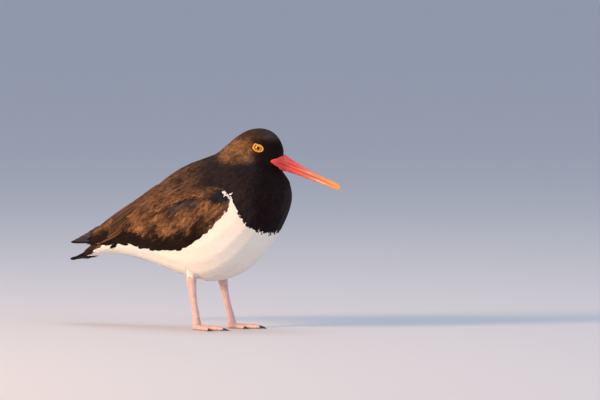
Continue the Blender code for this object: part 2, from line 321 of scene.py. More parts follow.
def plumage(name, roughness, specular, fringe, barb_depth, barbs=46.0, shaft=0.72):
    """Feathers: their own colour, barbs slanting from the shaft, a dark shaft and paler worn edges."""
    material, tree, shader = new_material(name, roughness, specular)
    coat = node(tree, "ShaderNodeAttribute", attribute_name="Coat").outputs["Color"]
    vane = node(tree, "ShaderNodeUVMap", uv_map="Vane").outputs[0]
    split = node(tree, "ShaderNodeSeparateXYZ", {0: vane})
    centred = sums(tree, "SUBTRACT", split.outputs[0], 0.5)
    across = sums(tree, "MULTIPLY", sums(tree, "ABSOLUTE", centred), 2.0)
    along = split.outputs[1]
    slant = sums(tree, "SUBTRACT", along, sums(tree, "MULTIPLY", across, 0.22))
    strand = node(tree, "ShaderNodeCombineXYZ", {0: sums(tree, "MULTIPLY", slant, barbs), 1: centred})
    barb = noise(tree, strand.outputs[0], 1.0, 1.0)
    mottle = noise(tree, node(tree, "ShaderNodeTexCoord").outputs["Object"], 160.0, 3.0)
    barb_shade = eased(tree, barb, 0.3, 0.7, 1.0 - barb_depth, 1.0 + barb_depth)
    mottle_shade = eased(tree, mottle, 0.3, 0.7, 1.0 - 0.4 * barb_depth, 1.0 + 0.4 * barb_depth)
    shaft_shade = eased(tree, across, 0.0, 0.12, shaft, 1.0)
    shade = sums(tree, "MULTIPLY", sums(tree, "MULTIPLY", barb_shade, mottle_shade), shaft_shade)
    edge = eased(tree, across, 0.62, 1.0)
    tip = eased(tree, along, 0.84, 1.0)
    worn = sums(tree, "MULTIPLY", sums(tree, "MAXIMUM", edge, tip), fringe)
    light = sums(tree, "MULTIPLY", shade, sums(tree, "ADD", worn, 1.0))
    scaled = node(tree, "ShaderNodeVectorMath", {0: coat, "Scale": light}, operation="SCALE").outputs[0]
    tree.links.new(scaled, shader.inputs["Base Color"])
    bumped(tree, shader, barb, 0.35, 0.0002)
    return material


def skin_material():
    """Bare skin and the down on it, in the colours of the coat above it."""
    material, tree, shader = new_material("down_skin", 0.85, 0.2)
    coat = node(tree, "ShaderNodeAttribute", attribute_name="Coat").outputs["Color"]
    place = node(tree, "ShaderNodeTexCoord").outputs["Object"]
    down = noise(tree, place, 900.0, 3.0, 0.6)
    shade = eased(tree, down, 0.3, 0.7, 0.85, 1.05)
    scaled = node(tree, "ShaderNodeVectorMath", {0: coat, "Scale": shade}, operation="SCALE").outputs[0]
    tree.links.new(scaled, shader.inputs["Base Color"])
    bumped(tree, shader, down, 0.6, 0.0004)
    return material


def ramp(tree, value, stops):
    """A colour ramp through (place, colour) stops."""
    made = node(tree, "ShaderNodeValToRGB", {0: value})
    elements = made.color_ramp.elements
    while len(elements) < len(stops):
        elements.new(0.5)
    for element, (place, colour) in zip(elements, stops):
        element.position = place
        element.color = rgba(colour)
    return made.outputs[0]


def bill_material():
    """Waxy horn, coral red at the base and yellow at the tip, streaked lengthwise."""
    material, tree, shader = new_material("bill_horn", 0.36, 0.5)
    vane = node(tree, "ShaderNodeUVMap", uv_map="Along").outputs[0]
    split = node(tree, "ShaderNodeSeparateXYZ", {0: vane})
    along, around = split.outputs[0], split.outputs[1]
    place = node(tree, "ShaderNodeTexCoord").outputs["Object"]
    cloud = noise(tree, place, 260.0, 4.0, 0.55)
    moved = sums(tree, "ADD", along, sums(tree, "MULTIPLY", sums(tree, "SUBTRACT", cloud, 0.5), 0.22))
    base = ramp(tree, moved, (
        (0.0, paint(240, 66, 58)),
        (0.22, paint(238, 86, 74)),
        (0.46, paint(224, 122, 100)),
        (0.66, paint(230, 148, 108)),
        (0.84, paint(240, 162, 96)),
        (1.0, paint(240, 172, 84)),
    ))
    lines = node(tree, "ShaderNodeCombineXYZ", {0: sums(tree, "MULTIPLY", along, 2.2), 1: sums(tree, "MULTIPLY", around, 26.0)})
    streak = noise(tree, lines.outputs[0], 1.0, 3.0, 0.6)
    pale = eased(tree, streak, 0.55, 0.75, 0.0, 0.45)
    dark = eased(tree, streak, 0.46, 0.28, 0.0, 0.45)
    first = blended(tree, pale, base, rgba(paint(250, 196, 176)))
    second = blended(tree, dark, first, rgba(paint(196, 52, 48)))
    depth = node(tree, "ShaderNodeAttribute", attribute_name="Line").outputs["Fac"]
    lined = blended(tree, sums(tree, "MULTIPLY", depth, 0.85), second, rgba(paint(122, 24, 22)))
    worn = node(tree, "ShaderNodeAttribute", attribute_name="Wear").outputs["Fac"]
    patchy = sums(tree, "MULTIPLY", worn, eased(tree, cloud, 0.35, 0.6, 0.35, 1.0))
    third = blended(tree, patchy, lined, rgba(paint(250, 214, 196)))
    tree.links.new(third, shader.inputs["Base Color"])
    shader.inputs["Subsurface Weight"].default_value = 0.12
    shader.inputs["Subsurface Radius"].default_value = (0.004, 0.0015, 0.001)
    shader.inputs["Coat Weight"].default_value = 0.15
    shader.inputs["Coat Roughness"].default_value = 0.3
    height = sums(tree, "ADD", streak, sums(tree, "MULTIPLY", cloud, 0.5))
    bumped(tree, shader, height, 0.35, 0.0003)
    return material


def eye_material(name, pole):
    """A black pupil, a golden iris with rays, and a darker rim, round the front of the eye."""
    material, tree, shader = new_material(name, 0.2, 0.3)
    place = node(tree, "ShaderNodeTexCoord").outputs["Object"]
    away = node(tree, "ShaderNodeVectorMath", {0: place, 1: tuple(pole)}, operation="DISTANCE").outputs["Value"]
    grain = noise(tree, place, 2600.0, 3.0, 0.6)
    spread = sums(tree, "ADD", away, sums(tree, "MULTIPLY", sums(tree, "SUBTRACT", grain, 0.5), 0.0004))
    share = eased(tree, spread, 0.0, 0.006)
    share.node.interpolation_type = "LINEAR"
    colour = ramp(tree, share, (
        (0.0, paint(8, 6, 6)),
        (0.265, paint(10, 7, 6)),
        (0.32, paint(190, 110, 22)),
        (0.42, paint(238, 178, 44)),
        (0.68, paint(246, 190, 52)),
        (0.80, paint(196, 112, 24)),
        (0.90, paint(60, 30, 12)),
    ))
    tree.links.new(colour, shader.inputs["Base Color"])
    shader.inputs["Coat Weight"].default_value = 0.5
    shader.inputs["Coat Roughness"].default_value = 0.05
    return material


def lid_material():
    material, tree, shader = new_material("eye_ring_skin", 0.5, 0.4)
    place = node(tree, "ShaderNodeTexCoord").outputs["Object"]
    folds = noise(tree, place, 1500.0, 3.0, 0.6)
    colour = ramp(tree, folds, ((0.3, paint(212, 132, 36)), (0.55, paint(240, 176, 56)), (0.75, paint(248, 196, 84))))
    tree.links.new(colour, shader.inputs["Base Color"])
    bumped(tree, shader, folds, 0.5, 0.0003)
    return material


def leg_material():
    """Pale pink scaly skin, darker between the scales and towards the floor."""
    material, tree, shader = new_material("leg_scales", 0.5, 0.4)
    place = node(tree, "ShaderNodeTexCoord").outputs["Object"]
    scales = node(tree, "ShaderNodeTexVoronoi", {"Vector": place, "Scale": 620.0}, feature="DISTANCE_TO_EDGE")
    seam = eased(tree, scales.outputs["Distance"], 0.0, 0.16)
    cloud = noise(tree, place, 150.0, 4.0, 0.6)
    split = node(tree, "ShaderNodeSeparateXYZ", {0: place})
    flesh = ramp(tree, cloud, ((0.3, paint(210, 176, 170)), (0.55, paint(226, 198, 194)), (0.8, paint(234, 214, 210))))
    low = eased(tree, split.outputs[2], 0.0022, 0.0, 0.0, 0.75)
    darker_low = blended(tree, low, flesh, rgba(paint(120, 88, 76)))
    seamed = blended(tree, sums(tree, "MULTIPLY", sums(tree, "SUBTRACT", 1.0, seam), 0.5), darker_low, rgba(paint(196, 140, 128)))
    tree.links.new(seamed, shader.inputs["Base Color"])
    shader.inputs["Subsurface Weight"].default_value = 0.1
    shader.inputs["Subsurface Radius"].default_value = (0.004, 0.0015, 0.001)
    bumped(tree, shader, seam, 0.5, 0.0002)
    return material


def claw_material():
    material, tree, shader = new_material("claw_horn", 0.32, 0.5)
    place = node(tree, "ShaderNodeTexCoord").outputs["Object"]
    grain = noise(tree, place, 700.0, 4.0, 0.6)
    colour = ramp(tree, grain, ((0.3, paint(24, 20, 20)), (0.6, paint(46, 38, 36)), (0.8, paint(84, 70, 62))))
    tree.links.new(colour, shader.inputs["Base Color"])
    bumped(tree, shader, grain, 0.3, 0.0002)
    return material


def floor_material():
    material, tree, shader = new_material("pale_floor", 0.9, 0.1)
    place = node(tree, "ShaderNodeTexCoord").outputs["Object"]
    grain = noise(tree, place, 900.0, 2.0)
    colour = ramp(tree, grain, ((0.3, paint(206, 208, 214)), (0.7, paint(214, 216, 221))))
    tree.links.new(colour, shader.inputs["Base Color"])
    return material


# The way the feathers lie and how long they are, as strokes of a comb over the right side

class Stroke:
    def __init__(self, place, way, length, slimness=0.44, turn=0.0):
        self.place, self.way = place, way
        self.length, self.slimness, self.turn = length, slimness, turn


STROKES = (
    Stroke((0.079, 0.0, 0.1895), (-0.35, 0, 1), 0.0024, turn=1),  # forehead, above the bill
    Stroke((0.078, 0.007, 0.1800), (-1, 0.3, 0.15), 0.0024, turn=1),  # beside the bill
    Stroke((0.071, 0.0, 0.2075), (-0.8, 0, 0.6), 0.0030, turn=1),  # forecrown
    Stroke((0.066, 0.013, 0.195), (-1, 0.25, 0.15), 0.0026, turn=1),  # before the eye
    Stroke((0.058, 0.012, 0.205), (-1, 0.0, 0.1), 0.0032, turn=1),  # over the eye
    Stroke((0.056, 0.0, 0.2138), (-1, 0, 0), 0.0038, turn=1),  # crown
    Stroke((0.044, 0.016, 0.196), (-1, 0.05, -0.15), 0.0038, turn=1),  # behind the eye
    Stroke((0.057, 0.0165, 0.181), (-1, 0.1, -0.45), 0.0034, turn=1),  # cheek
    Stroke((0.041, 0.0, 0.2115), (-0.95, 0, -0.3), 0.0044, turn=1),  # hind crown
    Stroke((0.040, 0.018, 0.180), (-0.85, 0.1, -0.6), 0.0046, turn=1),  # ear
    Stroke((0.078, 0.0, 0.1680), (-0.2, 0, -1), 0.0026, turn=1),  # chin
    Stroke((0.0815, 0.0, 0.1640), (0.25, 0, -1), 0.0036, turn=0.9),  # throat
    Stroke((0.070, 0.014, 0.168), (-0.55, 0.2, -0.8), 0.0036, turn=1),  # jaw
    Stroke((0.0885, 0.0, 0.1520), (0.15, 0, -1), 0.0055, turn=0.65),  # fore neck
    Stroke((0.0900, 0.0, 0.1335), (-0.1, 0, -1), 0.0070, turn=0.35),  # upper breast
    Stroke((0.0798, 0.0, 0.1097), (-0.5, 0, -0.87), 0.0085),  # crop
    Stroke((0.0600, 0.0, 0.0835), (-0.8, 0, -0.6), 0.0110),  # lower breast
    Stroke((0.0325, 0.0, 0.0605), (-0.95, 0, -0.3), 0.0120),
    Stroke((0.0010, 0.0, 0.0508), (-1, 0, 0.02), 0.0125),  # belly
    Stroke((-0.0310, 0.0, 0.0555), (-1, 0, 0.15), 0.0135),
    Stroke((-0.0900, 0.0, 0.0710), (-1, 0, 0.12), 0.0160),  # vent
    Stroke((-0.1400, 0.0, 0.0755), (-1, 0, -0.05), 0.0190, 0.4),  # under the tail
    Stroke((-0.1600, 0.0, 0.0725), (-1, 0, -0.2), 0.0150, 0.35),
    Stroke((-0.1450, 0.0200, 0.0790), (-1, -0.05, -0.3), 0.0170, 0.35),
    Stroke((-0.1600, 0.0195, 0.0750), (-1, -0.05, -0.3), 0.0150, 0.35),
    Stroke((-0.1550, 0.0, 0.0815), (-0.92, 0, -0.4), 0.0150, 0.4),
    Stroke((0.028, 0.0, 0.2038), (-0.9, 0, -0.45), 0.0055, turn=1),  # nape
    Stroke((0.016, 0.0, 0.1938), (-0.97, 0, -0.25), 0.0070, turn=0.6),
    Stroke((0.007, 0.0, 0.1872), (-0.97, 0, -0.25), 0.0090),  # hind neck
    Stroke((-0.030, 0.0, 0.1745), (-0.94, 0, -0.34), 0.0130, 0.34),  # mantle
    Stroke((-0.060, 0.0, 0.1580), (-0.88, 0, -0.47), 0.0150, 0.3),
    Stroke((-0.115, 0.0, 0.1155), (-0.86, 0, -0.5), 0.0180, 0.3),  # rump
    Stroke((-0.145, 0.0, 0.0900), (-0.93, 0, -0.36), 0.0200),  # over the tail
    Stroke((0.045, 0.028, 0.175), (-0.6, 0.25, -0.75), 0.0058, turn=0.5),  # side of the neck
    Stroke((0.068, 0.028, 0.150), (-0.3, 0.25, -0.92), 0.0062, turn=0.3),
    Stroke((0.055, 0.040, 0.150), (-0.5, 0.2, -0.85), 0.0075),  # side of the breast
    Stroke((0.062, 0.036, 0.115), (-0.7, 0.1, -0.7), 0.0090),
    Stroke((0.0770, 0.0, 0.1035), (-0.6, 0, -0.8), 0.0056),  # lower edge of the bib
    Stroke((0.0735, 0.018, 0.1040), (-0.6, 0.1, -0.75), 0.0056),
    Stroke((0.0661, 0.031, 0.1100), (-0.65, 0.1, -0.72), 0.0056),
    Stroke((0.0600, 0.038, 0.1210), (-0.6, 0.1, -0.75), 0.0056),
    Stroke((0.0535, 0.041, 0.1380), (-0.5, 0.1, -0.8), 0.0052),
    Stroke((0.035, 0.046, 0.105), (-0.9, 0.0, -0.42), 0.0110),
    Stroke((0.030, 0.045, 0.075), (-0.98, 0, -0.2), 0.0120),
    Stroke((0.0, 0.045, 0.070), (-1, 0, -0.02), 0.0120),  # flank
    Stroke((-0.02, 0.044, 0.082), (-0.97, 0, 0.16), 0.0110, 0.36),
    Stroke((-0.05, 0.040, 0.075), (-1, 0, 0.08), 0.0125),
    Stroke((-0.07, 0.037, 0.083), (-1, 0, 0.12), 0.0115, 0.36),
    Stroke((-0.10, 0.025, 0.082), (-1, 0, 0.05), 0.0130, 0.36),
    Stroke((-0.015, 0.046, 0.0900), (-1, 0.0, -0.12), 0.0130, 0.24),  # lower edge of the wing
    Stroke((-0.050, 0.043, 0.0885), (-1, 0.1, -0.04), 0.0150, 0.22),
    Stroke((-0.085, 0.035, 0.0910), (-1, 0.2, 0.0), 0.0170, 0.22),
    Stroke((-0.120, 0.025, 0.0915), (-1, 0.2, -0.06), 0.0170, 0.22),
    Stroke((0.030, 0.040, 0.168), (-0.8, 0.1, -0.6), 0.0090),  # shoulder
    Stroke((0.048, 0.044, 0.145), (-0.75, 0.1, -0.66), 0.0060, 0.45),  # bend of the wing
    Stroke((0.040, 0.047, 0.130), (-0.80, 0.1, -0.6), 0.0075, 0.38),
    Stroke((0.020, 0.047, 0.140), (-0.80, 0.05, -0.6), 0.0100, 0.3),
    Stroke((0.015, 0.048, 0.115), (-0.82, 0, -0.57), 0.0120, 0.26),
    Stroke((-0.020, 0.045, 0.130), (-0.72, 0, -0.69), 0.0140, 0.22),  # middle of the wing
    Stroke((-0.020, 0.044, 0.100), (-0.86, 0, -0.5), 0.0160, 0.22),
    Stroke((-0.060, 0.038, 0.130), (-0.70, -0.05, -0.71), 0.0170, 0.22),
    Stroke((-0.060, 0.036, 0.098), (-0.88, -0.05, -0.46), 0.0190, 0.22),
    Stroke((-0.100, 0.028, 0.110), (-0.76, -0.08, -0.64), 0.0200, 0.22),
    Stroke((-0.110, 0.025, 0.094), (-0.92, -0.08, -0.36), 0.0210, 0.24),
    Stroke((-0.140, 0.014, 0.096), (-0.85, -0.1, -0.5), 0.0180, 0.24),
    Stroke((-0.010, 0.030, 0.172), (-0.90, 0.12, -0.42), 0.0115, 0.34),  # side of the mantle
    Stroke((-0.040, 0.028, 0.160), (-0.84, 0.08, -0.54), 0.0140, 0.28),
    Stroke((-0.075, 0.020, 0.142), (-0.80, 0.0, -0.60), 0.0170, 0.26),
)


def combed(points):
    """For each point of the row frame, the way the feathers lie there, their length and their slimness."""
    places, ways, sizes = [], [], []
    for stroke in STROKES:
        for side in (1, -1):
            flip = np.array([1, side, 1])
            places.append(turned(np.multiply(stroke.place, flip), stroke.turn))
            way = np.multiply(stroke.way, flip)
            ways.append(turned(way + (NECK_AXIS_X, 0, 0), stroke.turn) - (NECK_AXIS_X, 0, 0))
            sizes.append((stroke.length, stroke.slimness))
    places, ways, sizes = np.array(places), unit(np.array(ways)), np.array(sizes)
    bird = in_bird(points)
    lies, lengths = np.zeros_like(bird), np.zeros((len(bird), 2))
    for start in range(0, len(bird), 5000):
        part = slice(start, start + 5000)
        away = np.linalg.norm(bird[part, None] - places[None], axis=2)
        weight = 1 / (away + 0.002) ** 4
        weight /= weight.sum(1, keepdims=True)
        lies[part] = weight @ ways
        lengths[part] = weight @ sizes
    return unit(lies), lengths[:, 0], lengths[:, 1]


# The form: one smooth surface over all the flesh, at the tips of the coat

class Form:
    """The surface that the feathers' tips reach, with the lie and length of the feathers at each point of it."""

    def __init__(self):
        obj = copy_of("skin", FLESH + ("eye_left", "eye_right"))
        cut_off(obj, in_row((TAIL_SKIN_END, 0, 0)), (-1, 0, 0))
        set_points(obj, points_of(obj) + normals_of(obj) * GROW)
        modified(obj, "REMESH", mode="VOXEL", voxel_size=VOXEL)
        edges = edges_of(obj)
        points = smoothed(points_of(obj), edges, 24, push=0.52)
        set_points(obj, points)
        points = points_of(obj) - normals_of(obj) * GROW
        set_points(obj, points)
        modified(obj, "TRIANGULATE")
        self.obj, self.edges = obj, edges_of(obj)
        self.points, self.normals = points_of(obj), normals_of(obj)
        triangles = np.zeros(len(obj.data.polygons) * 3, int)
        obj.data.polygons.foreach_get("vertices", triangles)
        self.triangles = triangles.reshape(-1, 3)
        self.tree = BVHTree.FromPolygons(self.points.tolist(), self.triangles.tolist())
        self.names = self.nearest_nodes()
        lies, lengths, slimness = combed(self.points)
        self.lies = self.along(lies, self.normals)
        self.sizes = np.stack([lengths, slimness], 1)

    @staticmethod
    def along(ways, normals):
        """Ways laid flat on the surface."""
        return unit(ways - normals * (ways * normals).sum(-1, keepdims=True))

    def nearest_nodes(self):
        """The name of the CAD node nearest to each vertex."""
        points, triangles, owners = [], [], []
        for name in FLESH:
            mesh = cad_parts[name].data
            start = len(points)
            points += [v.co.copy() for v in mesh.vertices]
            triangles += [[start + i for i in p.vertices] for p in mesh.polygons]
            owners += [name] * len(mesh.polygons)
        tree = BVHTree.FromPolygons(points, triangles)
        return np.array([owners[tree.find_nearest(Vector(p))[2]] for p in self.points])

    def scattered(self, count):
        """That many places spread at random over the surface: points, normals, lies, sizes and node names."""
        corners = self.points[self.triangles]
        areas = np.linalg.norm(np.cross(corners[:, 1] - corners[:, 0], corners[:, 2] - corners[:, 0]), axis=1)
        chosen = rng.choice(len(areas), count, p=areas / areas.sum())
        first, second = rng.random(count), rng.random(count)
        over = first + second > 1
        first[over], second[over] = 1 - first[over], 1 - second[over]
        weight = np.stack([1 - first - second, first, second], 1)[:, :, None]
        picked = self.triangles[chosen]
        return Places(
            (self.points[picked] * weight).sum(1),
            unit((self.normals[picked] * weight).sum(1)),
            unit((self.lies[picked] * weight).sum(1)),
            (self.sizes[picked] * weight).sum(1),
            self.names[picked[:, 0]],
        )

    def walked(self, places, lengths, shares):
        """The path over the surface from each place along its lie: points and normals at shares of the length."""
        count, rows = len(places.points), len(shares)
        ends = FEET_X + np.where(np.isin(places.names, WINGS), WING_SKIN_END, TAIL_SKIN_END + 0.0008)
        points = np.zeros((count, rows, 3))
        normals = np.zeros((count, rows, 3))
        ways = np.zeros((count, rows, 3))
        for i in range(count):
            here, way = Vector(places.points[i]), Vector(places.lies[i])
            normal = Vector(places.normals[i])
            length, done = float(lengths[i]), 0.0
            for k, share in enumerate(shares):
                step = (share - done) * length
                done = share
                here = here + way * step
                if here.x > ends[i]:
                    here, _, index, _ = self.tree.find_nearest(here)
                    normal = Vector(self.normals[self.triangles[index]].mean(0)).normalized()
                    way = (way - normal * way.dot(normal)).normalized()
                points[i, k], normals[i, k], ways[i, k] = here, normal, way
        return points, normals, ways


class Places:
    """Places on the form where feathers root."""

    def __init__(self, points, normals, lies, sizes, names):
        self.points, self.normals, self.lies = points, normals, lies
        self.sizes, self.names = sizes, names

    def where(self, chosen):
        return Places(self.points[chosen], self.normals[chosen], self.lies[chosen], self.sizes[chosen], self.names[chosen])


def spaced(places, spacing):
    """The indices of places that keep their spacing from one another."""
    cell = float(spacing.max())
    keys = np.floor(places.points / cell).astype(int)
    taken, kept = {}, []
    around = [(i, j, k) for i in (-1, 0, 1) for j in (-1, 0, 1) for k in (-1, 0, 1)]
    points = places.points
    for n in range(len(points)):
        x, y, z = keys[n]
        here = points[n]
        room = spacing[n] ** 2
        clear = True
        for i, j, k in around:
            for other in taken.get((x + i, y + j, z + k), ()):
                away = here - other
                if away[0] * away[0] + away[1] * away[1] + away[2] * away[2] < room:
                    clear = False
                    break
            if not clear:
                break
        if clear:
            taken.setdefault((x, y, z), []).append(here)
            kept.append(n)
    return np.array(kept, int)


# Feathers

COUNTS = []


class Vane:
    """The shape of one feather: rings of points from root to tip, between one root point and one tip point."""

    def __init__(self, shares, widest, tip_power, around=4, ridge=1.0):
        self.shares = np.array(shares)
        rise = np.minimum(self.shares / widest, 1) ** 0.75
        fall = np.clip((self.shares - widest) / (1 - widest), 0, 1)
        self.widths = rise * np.sqrt(np.clip(1 - fall ** 2, 0, 1)) ** tip_power
        angles = {4: (-1, 0, 1, 0), 6: (-1, -0.35, 0.35, 1, 0.4, -0.4)}[around]
        levels = {4: (0, 1, 0, -1), 6: (0, 1, 1, 0, -1, -1)}[around]
        self.across, self.levels = np.array(angles, float), np.array(levels, float) * ridge
        self.around = around
        rings = len(shares) - 2
        faces = []
        for k in range(around):
            after = (k + 1) % around
            faces.append((0, 1 + after, 1 + k))
            for ring in range(rings - 1):
                here, there = 1 + ring * around, 1 + (ring + 1) * around
                near, beside, far, over = here + k, here + after, there + k, there + after
                if k < around / 2:
                    faces += [(near, beside, over), (near, over, far)]
                else:  # split as the upper side is, so that the two never cross
                    faces += [(near, beside, far), (beside, over, far)]
            last = 1 + (rings - 1) * around
            faces.append((last + k, last + after, 1 + rings * around))
        self.faces = np.array(faces)
        self.count = 2 + rings * around


LEAF = Vane((0, 0.3, 0.62, 0.85, 1), 0.55, 1.0)
CONTOUR = Vane((0, 0.22, 0.45, 0.66, 0.84, 0.95, 1), 0.6, 1.0)
STREAK = Vane((0, 0.2, 0.42, 0.62, 0.8, 0.93, 1), 0.42, 1.7)
LONG = (0, 0.05, 0.12, 0.2, 0.3, 0.4, 0.5, 0.6, 0.7, 0.78, 0.86, 0.92, 0.97, 1)
BLADE = Vane(LONG, 0.3, 1.0, around=6)
BLUNT = Vane(LONG, 0.8, 0.8, around=6)


class Coat:
    """Feathers collected for one piece."""

    def __init__(self):
        self.points, self.faces, self.vanes, self.bakes = [], [], [], []
        self.colours, self.normals = [], []
        self.count = 0

    def add(self, vane, centres, normals, ways, half_widths, heights, thickness, cup, bake_at, colours, round_look=0.35):
        """Adds one feather for each path. Centres, normals and ways have a row for each share of the vane.
        A feather is shaded mostly as the body under it, rounded across by round_look."""
        count = len(centres)
        sides = unit(np.cross(ways, normals))
        rings = slice(1, -1)
        width = half_widths[:, None] * vane.widths[None, rings]
        thick = thickness[:, None] * np.clip(1.15 - vane.shares[None, rings], 0.25, 1)
        offset = heights[:, rings, None] + thick[:, :, None] * vane.levels - (cup * width)[:, :, None] * vane.across ** 2
        body = centres[:, rings, None] + sides[:, rings, None] * (width[:, :, None] * vane.across)[..., None]
        body = body + normals[:, rings, None] * offset[..., None]
        ends = centres + normals * heights[..., None]
        points = np.concatenate([ends[:, :1], body.reshape(count, -1, 3), ends[:, -1:]], 1)
        ring_count = len(vane.shares) - 2
        across = np.concatenate([[0], np.tile(vane.across, ring_count), [0]])
        along = np.concatenate([[0], np.repeat(vane.shares[rings], vane.around), [1]])
        local = np.stack([across * 0.5, along - 0.5], 1)
        self.vanes.append(np.tile(local + 0.5, (count, 1)))
        self.bakes.append((bake_at[:, None] + local[None] * BAKE_PATCH).reshape(-1, 2))
        self.points.append(points.reshape(-1, 3))
        starts = self.count + np.arange(count)[:, None, None] * vane.count
        self.faces.append((vane.faces[None] + starts).reshape(-1, 3))
        self.colours.append(np.repeat(colours, vane.count, axis=0))
        facing = normals[:, rings, None] * np.where(vane.levels < 0, -1, 1)[:, None]
        facing = facing + sides[:, rings, None] * (vane.across * round_look)[:, None]
        facing = np.concatenate([normals[:, :1], unit(facing).reshape(count, -1, 3), normals[:, -1:]], 1)
        self.normals.append(facing.reshape(-1, 3))
        self.count += count * vane.count

    def piece(self, name, material, slot, *stands_for):
        points, faces = np.concatenate(self.points), np.concatenate(self.faces)
        mesh = bpy.data.meshes.new(name)
        mesh.vertices.add(len(points))
        mesh.vertices.foreach_set("co", points.ravel())
        mesh.loops.add(faces.size)
        mesh.loops.foreach_set("vertex_index", faces.ravel())
        mesh.polygons.add(len(faces))
        mesh.polygons.foreach_set("loop_start", np.arange(0, faces.size, 3))
        mesh.update(calc_edges=True)
        for map_name, values in (("OFBake", self.bakes), ("Vane", self.vanes)):
            layer = mesh.uv_layers.new(name=map_name)
            layer.uv.foreach_set("vector", np.concatenate(values)[faces.ravel()].ravel())
        colour = mesh.attributes.new("Coat", "FLOAT_COLOR", "POINT")
        values = np.concatenate(self.colours)
        colour.data.foreach_set("color", np.concatenate([values, np.ones((len(values), 1))], 1).ravel())
        mesh.shade_smooth()
        mesh.normals_split_custom_set_from_vertices(np.concatenate(self.normals).tolist())
        obj = bpy.data.objects.new(name, mesh)
        bpy.context.scene.collection.objects.link(obj)
        COUNTS.append((name, len(faces)))
        return finished(obj, material, slot, *stands_for)


def unwrapped_places(form, points):
    """Where the points lie on the skin's own unwrap."""
    layer = form.obj.data.uv_layers["OFBake"]
    uvs = np.zeros(len(layer.uv) * 2)
    layer.uv.foreach_get("vector", uvs)
    uvs = uvs.reshape(-1, 3, 2)
    found = np.zeros((len(points), 2))
    for i, point in enumerate(points):
        spot, _, index, _ = form.tree.find_nearest(Vector(point))
        corners = [Vector(form.points[v]) for v in form.triangles[index]]
        flat = [Vector((*uv, 0)) for uv in uvs[index]]
        found[i] = barycentric_transform(spot, *corners, *flat)[:2]
    return found


# Markings, with painted light and shade, the same on the coat and on the skin under it

def waves(points, size, seed):
    """Soft uneven values from -1 to 1 that change over about that size."""
    steady = np.random.default_rng(seed)
    total = np.zeros(len(points))
    for _ in range(7):
        way = unit(steady.normal(size=3)) * 2 * math.pi / size * steady.uniform(0.6, 1.7)
        total += np.sin(points @ way + steady.uniform(0, 6.28))
    return total / 4


def bib_edge(x):
    """Height of the black bib's lower edge along the bird: low on the breast, rising to the bend of the wing."""
    return np.interp(x, (0.038, 0.0428, 0.0505, 0.0557, 0.0606, 0.0661, 0.0707, 0.0752),
                     (0.1560, 0.1520, 0.1433, 0.1344, 0.1207, 0.1099, 0.1051, 0.1030))


def tail_white_edge(x):
    """Height of the upper edge of the white under and beside the tail."""
    return np.interp(x, (-0.176, -0.160, -0.1397, -0.132, -0.125, -0.1165, -0.1047, -0.095),
                     (0.0700, 0.0738, 0.0805, 0.0845, 0.0872, 0.0892, 0.0928, 0.0940))


def wing_lower_edge(x):
    """Height of the wing's lower edge along the bird."""
    return np.interp(x, (-0.150, -0.107, -0.067, -0.020, 0.0, 0.015, 0.030, 0.040, 0.050),
                     (0.084, 0.091, 0.086, 0.085, 0.0885, 0.101, 0.113, 0.121, 0.134))


def scapular_edge(x):
    """Height of the edge where the long shoulder feathers end over the wing."""
    return np.interp(x, (-0.070, -0.045, -0.031, -0.020, -0.0105, -0.005, 0.003, 0.0115, 0.020, 0.028, 0.036, 0.043, 0.060),
                     (0.1120, 0.1215, 0.128, 0.1325, 0.1355, 0.139, 0.1408, 0.141, 0.1397, 0.143, 0.1475, 0.151, 0.154))


def is_white(bird, names):
    """True on the white of the belly, flanks, vent and under the tail."""
    ragged = 0.0007 * waves(bird, 0.007, 1) + 0.0006 * waves(bird, 0.003, 2)
    below_bib = bird[:, 2] + ragged < bib_edge(bird[:, 0])
    wing_edge = np.maximum(0.1490 - 1.2 * np.maximum(0.044 - bird[:, 0], 0), tail_white_edge(bird[:, 0]))
    under_wing = bird[:, 2] + ragged * 0.4 < wing_edge
    return below_bib & under_wing & ~np.isin(names, WINGS)


